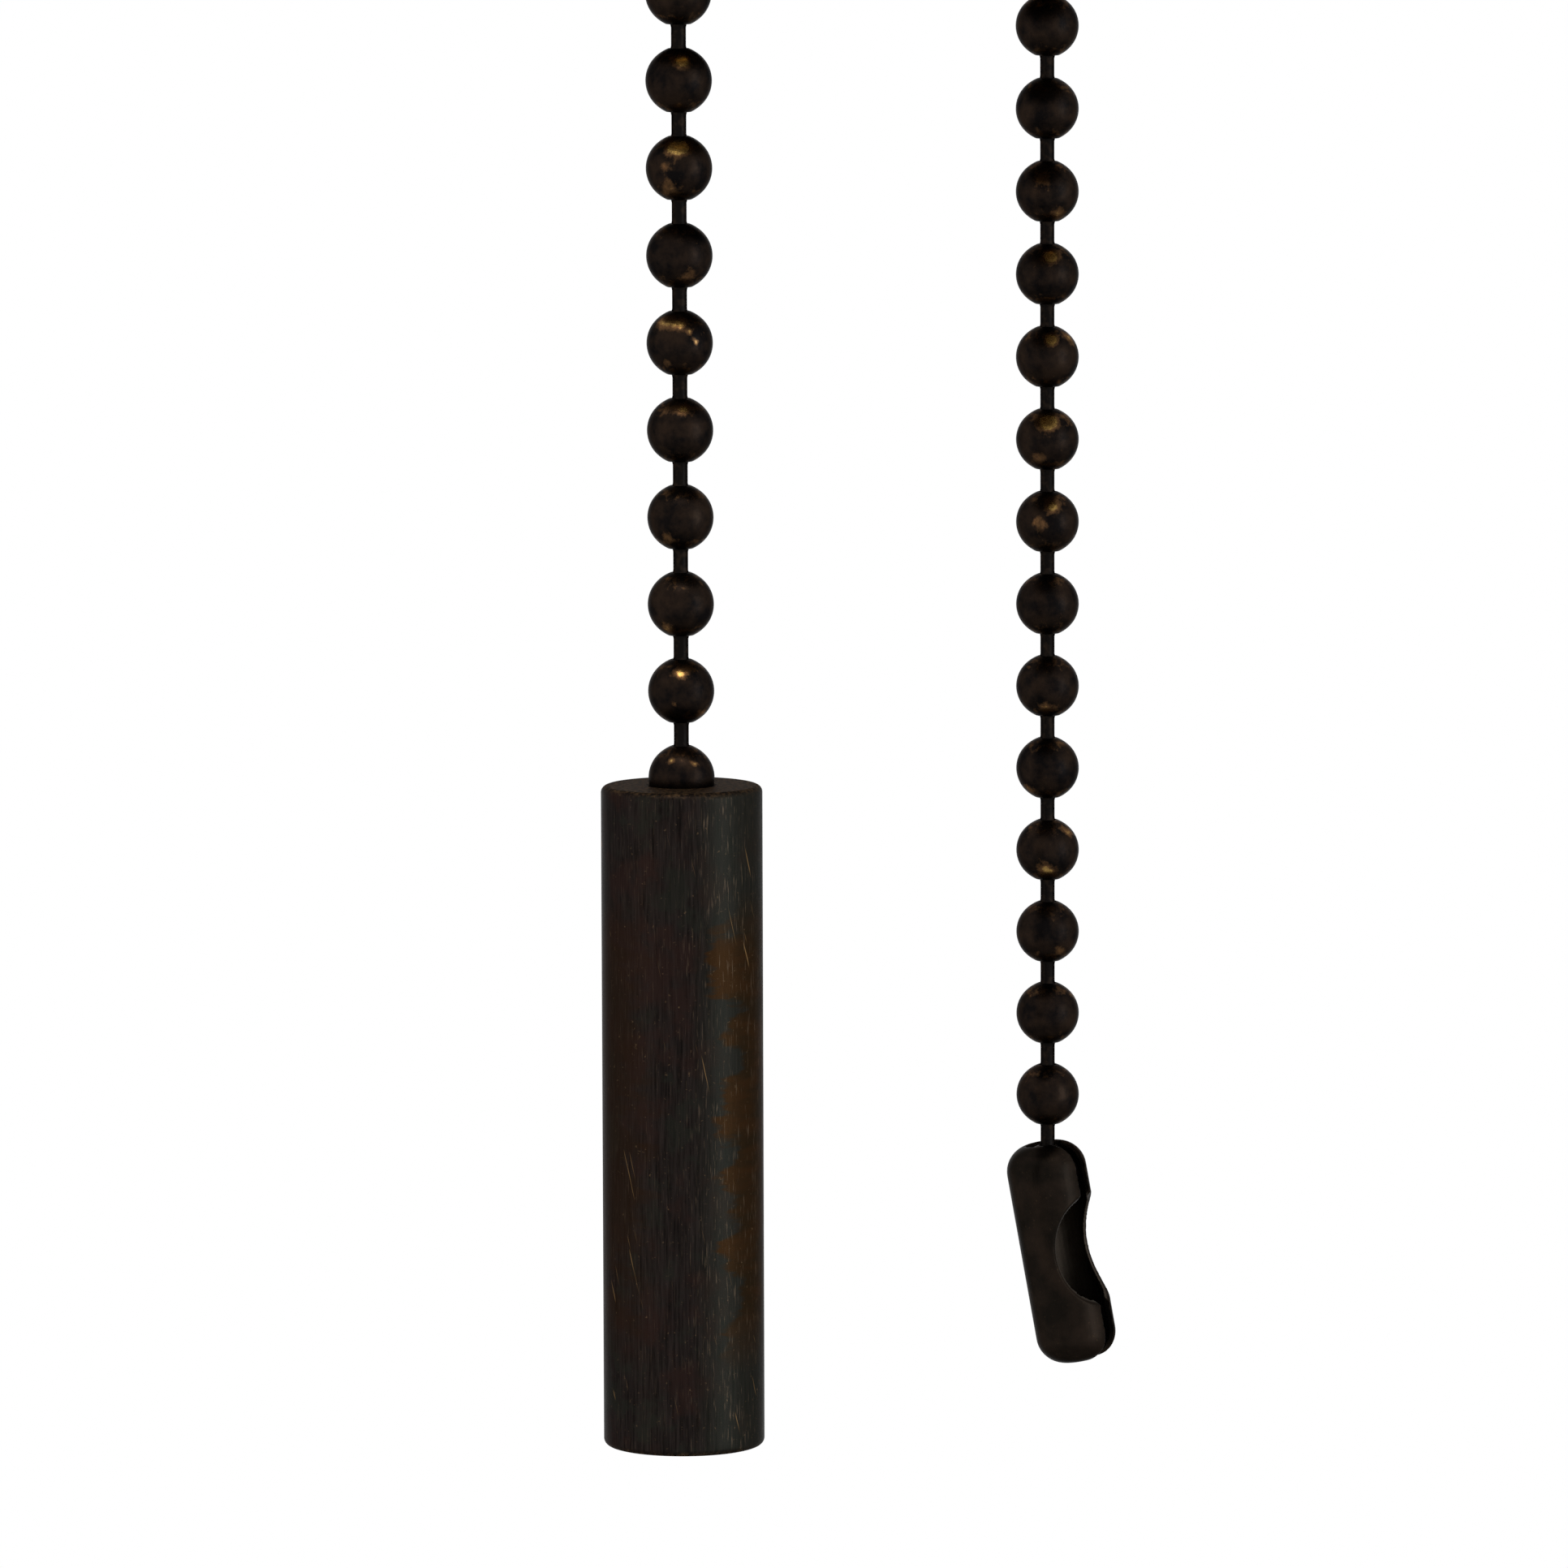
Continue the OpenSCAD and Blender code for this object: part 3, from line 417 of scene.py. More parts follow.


# Blackened brass is nearly black, satin, with a brown cast. Its ragged orange brown and gold
# spots, 0.3 to 0.9 mm across, are partly real wear and partly painted highlights and reflections.
bead_skin, tree, place = new_material("blackened_brass_bead")
wear_and_painted_light = add(tree, "Attribute", {"attribute_name": "wear_and_painted_light"}, {}).outputs["Fac"]
clouds = add(tree, "TexNoise", {},
             {"Vector": place, "Scale": 1.1, "Detail": 4.0, "Roughness": 0.6}).outputs[0]
ragged = add(tree, "TexNoise", {},
             {"Vector": place, "Scale": 3.0, "Detail": 4.0, "Roughness": 0.65}).outputs[0]
grain = add(tree, "TexNoise", {}, {"Vector": place, "Scale": 7.0, "Detail": 3.0}).outputs[0]
# real worn spots together with the painted highlights and the painted lighter shoulders, made ragged by noise
wear_and_light_level = add(tree, "Math", {"operation": "MULTIPLY_ADD"}, {0: ragged, 1: 0.9, 2: wear_and_painted_light}).outputs[0]
brown = add(tree, "MapRange", {}, {"Value": clouds, "From Min": 0.36, "From Max": 0.66}).outputs[0]
coat = add(tree, "Mix", {"data_type": "RGBA"},
           {0: brown, 6: linear("#100E0E"), 7: linear("#261D17")}).outputs[2]
orange_share = add(tree, "MapRange", {}, {"Value": wear_and_light_level, "From Min": 0.62, "From Max": 0.95}).outputs[0]
orange = add(tree, "Mix", {"data_type": "RGBA"}, {0: orange_share, 6: coat, 7: linear("#5F452D")}).outputs[2]
gold_share = add(tree, "MapRange", {}, {"Value": wear_and_light_level, "From Min": 0.95, "From Max": 1.35}).outputs[0]
colour = add(tree, "Mix", {"data_type": "RGBA"}, {0: gold_share, 6: orange, 7: linear("#D2AC62")}).outputs[2]
dull = add(tree, "MapRange", {},
           {"Value": wear_and_light_level, "From Min": 0.45, "From Max": 1.0, "To Min": 0.42, "To Max": 0.26})
bump = add(tree, "Bump", {}, {"Height": grain, "Distance": 0.02 * MM, "Strength": 0.35}).outputs[0]
metal = add(tree, "BsdfPrincipled", {}, {"Base Color": colour, "Metallic": 1.0, "Roughness": dull.outputs[0],
                                        "Specular Tint": (0.5, 0.5, 0.5, 1.0), "Normal": bump})
add(tree, "OutputMaterial", {}, {"Surface": metal.outputs[0]})

BEAD_PROFILE = bead_profile()
# the lit side, for which the beads' painted highlights and the pull's painted sheen tint and glints are laid
# out, and from which its flanks and scratches are placed: its turn about the vertical and its tilt up
LIT_SIDE_TURN, LIT_SIDE_TILT = math.radians(-59.3), math.radians(6.6)
lit_side_right = np.array([math.cos(LIT_SIDE_TURN), math.sin(LIT_SIDE_TURN), 0.0])
lit_side_front = np.array([math.sin(LIT_SIDE_TURN) * math.cos(LIT_SIDE_TILT), -math.cos(LIT_SIDE_TURN) * math.cos(LIT_SIDE_TILT),
                       math.sin(LIT_SIDE_TILT)])
lit_side_up = np.cross(lit_side_front, lit_side_right)
# painted light round both holes of every bead, lifting the dark caps the cup's reflection leaves: height over
# the bead's radius, width and amount
SHOULDER, SHOULDER_WIDTH, SHOULDER_PAINTED_LIGHT = 0.78, 0.24, 0.20
# how strong a painted highlight is: FAINT paints it orange brown, CLEAR gold in places, BRIGHT gold all over
FAINT, CLEAR, BRIGHT = 0.4, 0.6, 1.2
# painted highlights and reflections on the beads, as the lit side shows them: right, up, width (in bead
# radii), amount
PAINTED_HIGHLIGHTS = {
    "left_chain_03": [(0.1, 0.5, 0.2, BRIGHT)],
    "left_chain_04": [(0.0, 0.6, 0.3, BRIGHT), (-0.3, -0.6, 0.3, FAINT), (-0.4, 0.0, 0.2, FAINT)],
    "left_chain_05": [(0.3, -0.6, 0.2, FAINT)],
    "left_chain_06": [(0.0, 0.5, 0.2, CLEAR), (0.3, 0.3, 0.1, CLEAR), (0.5, 0.0, 0.1, CLEAR),
                      (-0.4, -0.6, 0.1, FAINT)],
    "left_chain_07": [(0.1, 0.6, 0.2, CLEAR)],
    "left_chain_08": [(-0.4, -0.6, 0.2, FAINT)],
    "left_chain_09": [(-0.4, -0.7, 0.2, FAINT)],
    "left_chain_10": [(0.0, 0.5, 0.2, CLEAR), (-0.2, -0.4, 0.1, FAINT)],
    "left_chain_11": [(-0.3, 0.5, 0.1, CLEAR), (0.4, 0.4, 0.1, CLEAR)],
    "right_chain_04": [(-0.2, 0.3, 0.3, FAINT)],
    "right_chain_05": [(0.1, 0.5, 0.2, BRIGHT)],
    "right_chain_06": [(0.1, 0.5, 0.2, BRIGHT)],
    "right_chain_07": [(0.0, 0.5, 0.3, BRIGHT), (-0.3, -0.6, 0.2, FAINT)],
    "right_chain_08": [(0.1, 0.4, 0.2, CLEAR), (-0.3, -0.1, 0.3, FAINT)],
    "right_chain_12": [(-0.1, -0.6, 0.3, FAINT)],
    "right_chain_13": [(0.4, -0.6, 0.2, FAINT)],
}
# faint spots of any bead: height over distance out, width (in bead radii), least and most amount
STRAY_UP, STRAY_WIDTH, STRAY_LEAST, STRAY_MOST = 0.75, 0.22, 0.15, 0.42
rubbing = np.random.default_rng(7)


def anywhere():
    """Two faint spots somewhere on a bead's shoulders: arrays of direction, width and amount."""
    around, side = rubbing.uniform(0, 2 * math.pi, 2), rubbing.choice([-1, 1], 2)
    spot = np.column_stack([np.cos(around), np.sin(around), STRAY_UP * side])
    spot = spot / np.linalg.norm(spot, axis=1, keepdims=True)
    return spot, np.full(2, STRAY_WIDTH), rubbing.uniform(STRAY_LEAST, STRAY_MOST, 2)


def highlights_at(spots):
    """The same three arrays for painted highlights given by how far right and up they lie on the lit side."""
    right, up, width, amount = np.array(spots).T
    near = np.sqrt(1 - right ** 2 - up ** 2)
    return right[:, None] * lit_side_right + up[:, None] * lit_side_up + near[:, None] * lit_side_front, width, amount


def bead(name, centre, body, node):
    """One bead. Each painted highlight, each stray worn spot and both painted lighter shoulders add an amount
    times a bell curve of distance over width.
    """
    piece = turned(name, BEAD_PROFILE, centre, BEAD_AROUND, True, bead_skin)
    sets = [anywhere()] + ([highlights_at(PAINTED_HIGHLIGHTS[node])] if node in PAINTED_HIGHLIGHTS else [])

    def wear_and_painted_light(x, y, z):
        way = (np.column_stack([x, y, z]) - centre) / BEAD_R
        spots = sum((amount * np.exp(-(np.linalg.norm(way[:, None] - spot, axis=2) / width) ** 2)).sum(axis=1)
                    for spot, width, amount in sets)
        # the shoulders are painted lighter, painted light against the dark reflection there
        return spots + SHOULDER_PAINTED_LIGHT * np.exp(-((np.abs(way[:, 2]) - SHOULDER) / SHOULDER_WIDTH) ** 2)

    paint(piece, "wear_and_painted_light", wear_and_painted_light)
    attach(piece, body)
    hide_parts(node)


def bead_centre(node):
    """Middle of the bead at the top of a chain node."""
    low, high = node_corners(node)
    rim = math.sqrt(BEAD_R ** 2 - HOLE_R ** 2)
    return np.array([(low[0] + high[0]) / 2, (low[1] + high[1]) / 2, high[2] - rim])


beads = {side: sorted(n for n in frame["nodes"] if n.startswith(side + "_chain_") and n[-1].isdigit())
         for side in ("left", "right")}
top_of = {side: bead_centre(nodes[0]) for side, nodes in beads.items()}
PITCH = (top_of["left"][2] - bead_centre(beads["left"][-1])[2]) / (len(beads["left"]) - 1)
down = np.array([0.0, 0.0, -PITCH])
# beads of the stretch that hangs in the switch and moves with its plunger
in_switch = {}
for side in ("left", "right"):
    low, high = node_corners(side + "_chain_head")
    in_switch[side] = round((high[2] - low[2]) / PITCH)

for side, nodes in beads.items():
    for i, node in enumerate(nodes):
        bead(node + "_bead", top_of[side] + i * down, node, node)
    for i in range(1, in_switch[side] + 1):
        bead(f"{side}_switch_bead_{i}", top_of[side] - i * down, side + "_plunger", side + "_chain_head")
# the bead that carries the pull, in its bore
bead("pull_anchor_bead", bead_centre(beads["left"][-1]) + down, beads["left"][-1], beads["left"][-1])


# ---------------------------------------------------------------- chain links
# A link is a piece of brass wire with a head upset at each end, each head caught inside a
# bead. It is blackened with the chain, and stays darker because it isn't rubbed.

WIRE_R = 0.36
HEAD_R = 0.65
HEAD_PLAY = 0.03
HEAD_ROWS = 7
LINK_AROUND = 28
# the shoulder's first row: radius, and drop below the head's widest place
SHOULDER_START = (0.58, 0.33)
# its other rows: radius, and height over the neck, where the head's circle would meet the wire
NECK_ROWS = [(0.46, -0.02), (0.40, -0.14), (WIRE_R, -0.3)]
# how far a head's widest place lies from its bead's middle, as it hangs in the hole
HEAD_SEAT = math.sqrt(INNER_R ** 2 - HOLE_R ** 2) - math.sqrt(HEAD_R ** 2 - HOLE_R ** 2) - HEAD_PLAY


def link_profile():
    """Outline of a link as rows of (radius, height) under a bead's middle.

    The head is a quarter circle (H sin t, H cos t), a soft shoulder narrows to the wire, and
    the lower half mirrors the upper about the link's middle, half a pitch down.
    """
    t = np.linspace(0.0, math.pi / 2, HEAD_ROWS)
    head = np.column_stack([HEAD_R * np.sin(t), HEAD_R * np.cos(t) - HEAD_SEAT])
    neck = -HEAD_SEAT - math.sqrt(HEAD_R ** 2 - WIRE_R ** 2)
    start = (SHOULDER_START[0], -HEAD_SEAT - SHOULDER_START[1])
    upper = np.vstack([head, start, np.array(NECK_ROWS) + [0, neck]])
    lower = upper[::-1] * [1, -1] - [0, PITCH]
    return np.vstack([upper, lower])


# The coat is thick here: black with a brown cast, a little less shiny than the beads.
link_skin, tree, place = new_material("blackened_brass_link")
grain = add(tree, "TexNoise", {}, {"Vector": place, "Scale": 3.0, "Detail": 4.0}).outputs[0]
brown = add(tree, "MapRange", {}, {"Value": grain, "From Min": 0.48, "From Max": 0.72}).outputs[0]
colour = add(tree, "Mix", {"data_type": "RGBA"},
             {0: brown, 6: linear("#12100F"), 7: linear("#241D18")}).outputs[2]
dull = add(tree, "MapRange", {},
           {"Value": grain, "From Min": 0.3, "From Max": 0.7, "To Min": 0.36, "To Max": 0.5})
bump = add(tree, "Bump", {}, {"Height": grain, "Distance": 0.01 * MM, "Strength": 0.3}).outputs[0]
metal = add(tree, "BsdfPrincipled", {}, {"Base Color": colour, "Metallic": 1.0, "Roughness": dull.outputs[0],
                                        "Specular Tint": (0.4, 0.4, 0.4, 1.0), "Normal": bump})
add(tree, "OutputMaterial", {}, {"Surface": metal.outputs[0]})

LINK_PROFILE = link_profile()


def link(name, centre, body, node):
    """The link below the bead whose middle is centre."""
    piece = turned(name, LINK_PROFILE, centre, LINK_AROUND, False, link_skin)
    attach(piece, body)
    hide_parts(node)


for side, nodes in beads.items():
    # the right chain's last bead has no link, it sits in the connector
    hung = nodes if side == "left" else nodes[:-1]
    for i, node in enumerate(hung):
        link(node + "_link", top_of[side] + i * down, node, node)
    for i in range(1, in_switch[side] + 1):
        link(f"{side}_switch_link_{i}", top_of[side] - i * down, side + "_plunger", side + "_chain_head")


# ---------------------------------------------------------------- pull
# The pull is turned from brass bar, its edges broken by hand and its side brushed lengthwise
# before it is browned. A dish in its top takes the lowest bead that shows, and a bore from
# below takes the bead that holds it.

PULL_R = (pull_high[0] - pull_low[0]) / 2
PULL_L = pull_high[2] - pull_low[2]
EDGE_R = 0.34
BEAD_PLAY = 0.04
SEAT_R = BEAD_R + BEAD_PLAY
SINK = bead_centre(beads["left"][-1])[2] - pull_high[2]
BORE_ROOM = 0.3
BORE_R = BEAD_R + BORE_ROOM
LINK_ROOM = 0.29
LINK_HOLE_R = WIRE_R + LINK_ROOM
# the seat's lip: radius past the seat's rim, and height
SEAT_LIP = [(0.0, -0.03), (0.05, -0.004), (0.12, 0.0)]
# the bore's mouth: radius past the bore, and height over the lower face
BORE_MOUTH = [(0.03, 0.01), (0.0, 0.06)]
SEAT_ROWS = 14
FACE_ROWS = 8
EDGE_ROWS = 9
SIDE_ROWS = 90
UNDER_ROWS = 6
PULL_AROUND = 256


def arc(middle_r, middle_h, radius, start, end, steps):
    """Rows (middle + radius cos t, middle + radius sin t), with t from start to end in degrees."""
    t = np.radians(np.linspace(start, end, steps))
    return np.column_stack([middle_r + radius * np.cos(t), middle_h + radius * np.sin(t)])


def pull_profile():
    """Outline of the pull as rows of (radius, height) under its top face.

    It goes from the seat's hole up the seat's arc, out over the face, round the broken edge,
    down the side, round the lower edge, in to the bore and up the bore.
    """
    hole = math.degrees(math.acos(LINK_HOLE_R / SEAT_R))
    rim = math.degrees(math.asin(SINK / SEAT_R))
    seat = arc(0.0, SINK, SEAT_R, -hole, -rim - 2, SEAT_ROWS)
    rim_r = seat[-1, 0] + 0.02
    lip = np.array(SEAT_LIP) + [rim_r, 0]
    across = np.linspace(rim_r + 0.3, PULL_R - EDGE_R, FACE_ROWS)
    face = np.column_stack([across, np.zeros(FACE_ROWS)])
    edge = arc(PULL_R - EDGE_R, -EDGE_R, EDGE_R, 88, 2, EDGE_ROWS)
    drop = np.linspace(-EDGE_R - 0.2, -PULL_L + EDGE_R + 0.2, SIDE_ROWS)
    side = np.column_stack([np.full(SIDE_ROWS, PULL_R), drop])
    low_edge = arc(PULL_R - EDGE_R, -PULL_L + EDGE_R, EDGE_R, -2, -88, EDGE_ROWS)
    back_in = np.linspace(PULL_R - EDGE_R - 0.1, BORE_R + 0.1, UNDER_ROWS)
    under = np.column_stack([back_in, np.full(UNDER_ROWS, -PULL_L)])
    bore_top = -(PITCH - SINK - BEAD_R - BEAD_PLAY)
    mouth = np.array(BORE_MOUTH) + [BORE_R, -PULL_L]
    bore = [(BORE_R, bore_top), (LINK_HOLE_R, bore_top)]
    return np.vstack([seat, lip, face, edge, side, low_edge, under, mouth, bore])


# Browned brass brushed lengthwise: a near black ground with fine streaks 0.1 mm wide, clouded
# purple and green, warmer at both flanks, with a painted green-grey sheen tint inside the right
# flank, light brush marks painted thickest there as painted glints, and a few leaning scratches
# that show gold. The turned ends are rougher and mottled, because the brush misses them.
pull_skin, tree, place = new_material("brushed_browned_brass")
centred = add(tree, "Mapping", {}, {"Vector": place, "Location": tuple(-pull_top)}).outputs[0]
along = add(tree, "Mapping", {}, {"Vector": centred, "Scale": (9.0, 9.0, 0.45)}).outputs[0]
streaks = add(tree, "TexNoise", {},
              {"Vector": along, "Scale": 1.0, "Detail": 5.0, "Roughness": 0.65}).outputs[0]
blotches = add(tree, "TexNoise", {},
               {"Vector": centred, "Scale": 0.42, "Detail": 5.0, "Roughness": 0.6}).outputs[0]
specks = add(tree, "TexNoise", {},
             {"Vector": centred, "Scale": 5.0, "Detail": 3.0, "Roughness": 0.6}).outputs[0]
across = add(tree, "VectorMath", {"operation": "DOT_PRODUCT"},
             {0: centred, 1: tuple(lit_side_right)}).outputs["Value"]
# the ground, streaked
pale = add(tree, "MapRange", {}, {"Value": streaks, "From Min": 0.34, "From Max": 0.7}).outputs[0]
ground = add(tree, "Mix", {"data_type": "RGBA"},
             {0: pale, 6: linear("#110E0D"), 7: linear("#292321")}).outputs[2]
# purple-brown clouds, with greenish ones between them, and a painted green-grey sheen tint all along inside
# the right flank
purple = add(tree, "MapRange", {},
             {"Value": blotches, "From Min": 0.50, "From Max": 0.62, "To Max": 0.6}).outputs[0]
cloudy = add(tree, "Mix", {"data_type": "RGBA"}, {0: purple, 6: ground, 7: linear("#271A17")}).outputs[2]
green = add(tree, "MapRange", {},
            {"Value": blotches, "From Min": 0.46, "From Max": 0.38, "To Max": 0.5}).outputs[0]
sheen_tint_band = add(tree, "MapRange", {}, {"Value": across, "From Min": 0.1 * PULL_R, "From Max": 0.45 * PULL_R,
                                  "To Max": 0.55}).outputs[0]
green_clouds_and_sheen_tint = add(tree, "Math", {"operation": "MAXIMUM"}, {0: green, 1: sheen_tint_band}).outputs[0]
clouded = add(tree, "Mix", {"data_type": "RGBA"}, {0: green_clouds_and_sheen_tint, 6: cloudy, 7: linear("#1F211C")}).outputs[2]
# the warm flanks, along the middle of the pull, with tongues a millimetre high and more orange patches
depth = add(tree, "SeparateXYZ", {}, {"Vector": centred}).outputs["Z"]
begun = add(tree, "MapRange", {},
            {"Value": depth, "From Min": -0.15 * PULL_L, "From Max": -0.24 * PULL_L}).outputs[0]
ended = add(tree, "MapRange", {},
            {"Value": depth, "From Min": -0.88 * PULL_L, "From Max": -0.78 * PULL_L}).outputs[0]
middle = add(tree, "Math", {"operation": "MULTIPLY"}, {0: begun, 1: ended}).outputs[0]
flat = add(tree, "Mapping", {}, {"Vector": centred, "Scale": (0.25, 0.25, 0.9)}).outputs[0]
tongues = add(tree, "TexNoise", {},
              {"Vector": flat, "Scale": 1.0, "Detail": 4.0, "Roughness": 0.55}).outputs[0]
ragged = add(tree, "Math", {"operation": "SUBTRACT"}, {0: tongues, 1: 0.5}).outputs[0]
edge = add(tree, "Math", {"operation": "MULTIPLY_ADD"}, {0: ragged, 1: 6.0, 2: across}).outputs[0]
orange_patches = add(tree, "MapRange", {}, {"Value": tongues, "From Min": 0.42, "From Max": 0.6}).outputs[0]
warm = add(tree, "Mix", {"data_type": "RGBA"},
           {0: orange_patches, 6: linear("#22190F"), 7: linear("#2B1C0F")}).outputs[2]
right_edge = add(tree, "MapRange", {},
                 {"Value": edge, "From Min": 0.50 * PULL_R, "From Max": 0.62 * PULL_R}).outputs[0]
right_flank = add(tree, "Math", {"operation": "MULTIPLY"}, {0: right_edge, 1: middle}).outputs[0]
sided = add(tree, "Mix", {"data_type": "RGBA"}, {0: right_flank, 6: clouded, 7: warm}).outputs[2]
left_edge = add(tree, "MapRange", {}, {"Value": edge, "From Min": -0.4 * PULL_R, "From Max": -0.75 * PULL_R,
                                      "To Max": 0.6}).outputs[0]
left_flank = add(tree, "Math", {"operation": "MULTIPLY"}, {0: left_edge, 1: middle}).outputs[0]
flanked = add(tree, "Mix", {"data_type": "RGBA"}, {0: left_flank, 6: sided, 7: linear("#23170E")}).outputs[2]
# brush marks 0.06 mm wide and 1 mm long, painted lighter and thickest right of the middle where the right
# lamp's sheen falls: real marks with painted glints
hairs = add(tree, "Mapping", {}, {"Vector": centred, "Scale": (15.0, 15.0, 1.0)}).outputs[0]
marks = add(tree, "TexNoise", {}, {"Vector": hairs, "Scale": 1.0, "Detail": 3.0}).outputs[0]
mark = add(tree, "MapRange", {}, {"Value": marks, "From Min": 0.60, "From Max": 0.74}).outputs[0]
glint_weight = add(tree, "MapRange", {}, {"Value": across, "From Min": -0.1 * PULL_R, "From Max": 0.35 * PULL_R,
                                   "To Min": 0.18, "To Max": 0.6}).outputs[0]
shown = add(tree, "Math", {"operation": "MULTIPLY"}, {0: mark, 1: glint_weight}).outputs[0]
brushed = add(tree, "Mix", {"data_type": "RGBA"}, {0: shown, 6: flanked, 7: linear("#5A4C3E")}).outputs[2]
# scratches that lean 12 degrees, some 4 mm long
lean = Matrix.Rotation(math.radians(12.0), 3, "Y") @ Matrix.Rotation(-LIT_SIDE_TURN, 3, "Z")
leaning = add(tree, "Mapping", {}, {"Vector": centred, "Rotation": tuple(lean.to_euler())}).outputs[0]
scratches = add(tree, "Mapping", {}, {"Vector": leaning, "Scale": (9.0, 0.8, 0.2)}).outputs[0]
fine = add(tree, "TexNoise", {}, {"Vector": scratches, "Scale": 1.0, "Detail": 2.0}).outputs[0]
scratch = add(tree, "MapRange", {},
              {"Value": fine, "From Min": 0.71, "From Max": 0.77, "To Max": 0.7}).outputs[0]
scored = add(tree, "Mix", {"data_type": "RGBA"}, {0: scratch, 6: brushed, 7: linear("#7D6240")}).outputs[2]
speck = add(tree, "MapRange", {},
            {"Value": specks, "From Min": 0.66, "From Max": 0.76, "To Max": 0.6}).outputs[0]
side_colour = add(tree, "Mix", {"data_type": "RGBA"}, {0: speck, 6: scored, 7: linear("#5A4936")}).outputs[2]
# the turned ends
end = add(tree, "Attribute", {"attribute_name": "end"}, {}).outputs["Fac"]
mottle = add(tree, "MapRange", {}, {"Value": specks, "From Min": 0.42, "From Max": 0.7}).outputs[0]
end_colour = add(tree, "Mix", {"data_type": "RGBA"},
                 {0: mottle, 6: linear("#1A1512"), 7: linear("#54412E")}).outputs[2]
colour = add(tree, "Mix", {"data_type": "RGBA"}, {0: end, 6: side_colour, 7: end_colour}).outputs[2]
dull = add(tree, "MapRange", {},
           {"Value": streaks, "From Min": 0.3, "From Max": 0.7, "To Min": 0.36, "To Max": 0.48})
rough = add(tree, "Mix", {}, {0: end, 2: dull.outputs[0], 3: 0.7}).outputs[0]
bump = add(tree, "Bump", {}, {"Height": streaks, "Distance": 0.03 * MM, "Strength": 0.3}).outputs[0]
metal = add(tree, "BsdfPrincipled", {}, {"Base Color": colour, "Metallic": 1.0, "Roughness": rough,
                                        "Specular Tint": (0.5, 0.5, 0.5, 1.0), "Normal": bump})
add(tree, "OutputMaterial", {}, {"Surface": metal.outputs[0]})

pull = turned("pull_rod", pull_profile(), pull_top, PULL_AROUND, True, pull_skin)
paint(pull, "end", lambda x, y, z: np.clip(
    (PULL_R - np.hypot(x - pull_top[0], y - pull_top[1])) / (0.5 * EDGE_R), 0.0, 1.0))
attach(pull, "pull")
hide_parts("pull_weight")


# ---------------------------------------------------------------- pull plug
# A brass disc pressed into the bore from below hides the bead that holds the pull. Its lower
# edge is rounded so that it starts easily, and it is browned like the ring nuts.

plug_low, plug_high = node_corners("pull_plug")
PLUG_PLAY = 0.01
PLUG_R = BORE_R - PLUG_PLAY
PLUG_ROUND = 0.25
PLUG_BREAK = 0.1
PLUG_EDGE_ROWS = 7
PLUG_FACE_RADII = (1.2, 0.8, 0.35, 0.0)
PLUG_AROUND = 64


def plug_profile():
    """Outline of the plug as rows of (radius, height): top face, side, rounded edge and lower face."""
    start = [(0.0, plug_high[2]), (PLUG_R - PLUG_BREAK, plug_high[2]), (PLUG_R, plug_high[2] - PLUG_BREAK)]
    edge = arc(PLUG_R - PLUG_ROUND, plug_low[2] + PLUG_ROUND, PLUG_ROUND, 0, -85, PLUG_EDGE_ROWS)
    face = [(radius, plug_low[2]) for radius in PLUG_FACE_RADII]
    return np.vstack([start, edge, face])


plug_place = np.array([pull_top[0], pull_top[1], 0.0])
plug = turned("pull_plug_disc", plug_profile(), plug_place, PLUG_AROUND, False, hardware)
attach(plug, "pull")
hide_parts("pull_plug")


# ---------------------------------------------------------------- connector
# The connector is a sleeve rolled from thin brass sheet, with a snap window and slit for the
# next chain's bead. Pressing leaves soft edges, which a fine remesh of the CAD solid gives.

CONNECTOR_VOXEL = 0.06
SHEET = 0.3
TUBE_R = 2.05
TUBE_L = 11.4
TUBE_CORNER = 1.45
# from the tube's middle to the place of the next chain's bead
MIDDLE_TO_SOCKET = 4.0
# the share of the sheet over which the inner side's colour fades into the outer one's
INSIDE_FADE = 0.3

socket = next(mount for mount in frame["record"]["mounts"] if mount["name"] == "connector_socket")
socket_point = np.array(socket["pos_m"]) / MM
tube_way = np.array(socket["axis"])


def inner_side(x, y, z):
    """1 on the sheet's inner side and 0 on its outer one.

    It is the side of a round-cornered cylinder that runs halfway through the sheet: the
    distance to it is the length of what lies past its straight parts, less its corner.
    """
    apart = np.column_stack([x, y, z]) - socket_point
    along = apart @ tube_way
    out = np.linalg.norm(apart - along[:, None] * tube_way, axis=1)
    corner = TUBE_CORNER - SHEET / 2
    past = np.stack([out - (TUBE_R - SHEET / 2 - corner),
                     np.abs(along + MIDDLE_TO_SOCKET) - (TUBE_L / 2 - SHEET / 2 - corner)])
    distance = np.linalg.norm(np.maximum(past, 0.0), axis=0) - corner
    return np.clip(0.5 - distance / (INSIDE_FADE * SHEET), 0.0, 1.0)


# Browned sheet: satin, an even dark brown with a slight cloud. The tube's inside is painted a
# little paler, a painted lift of the shade inside the tube.
connector_skin, tree, place = new_material("browned_brass_sheet")
clouds = add(tree, "TexNoise", {},
             {"Vector": place, "Scale": 0.6, "Detail": 4.0, "Roughness": 0.6}).outputs[0]
grain = add(tree, "TexNoise", {}, {"Vector": place, "Scale": 6.0, "Detail": 3.0}).outputs[0]
warm = add(tree, "MapRange", {}, {"Value": clouds, "From Min": 0.38, "From Max": 0.66}).outputs[0]
ground = add(tree, "Mix", {"data_type": "RGBA"},
             {0: warm, 6: linear("#15120F"), 7: linear("#231C17")}).outputs[2]
rubbed = add(tree, "MapRange", {},
             {"Value": grain, "From Min": 0.66, "From Max": 0.78, "To Max": 0.4}).outputs[0]
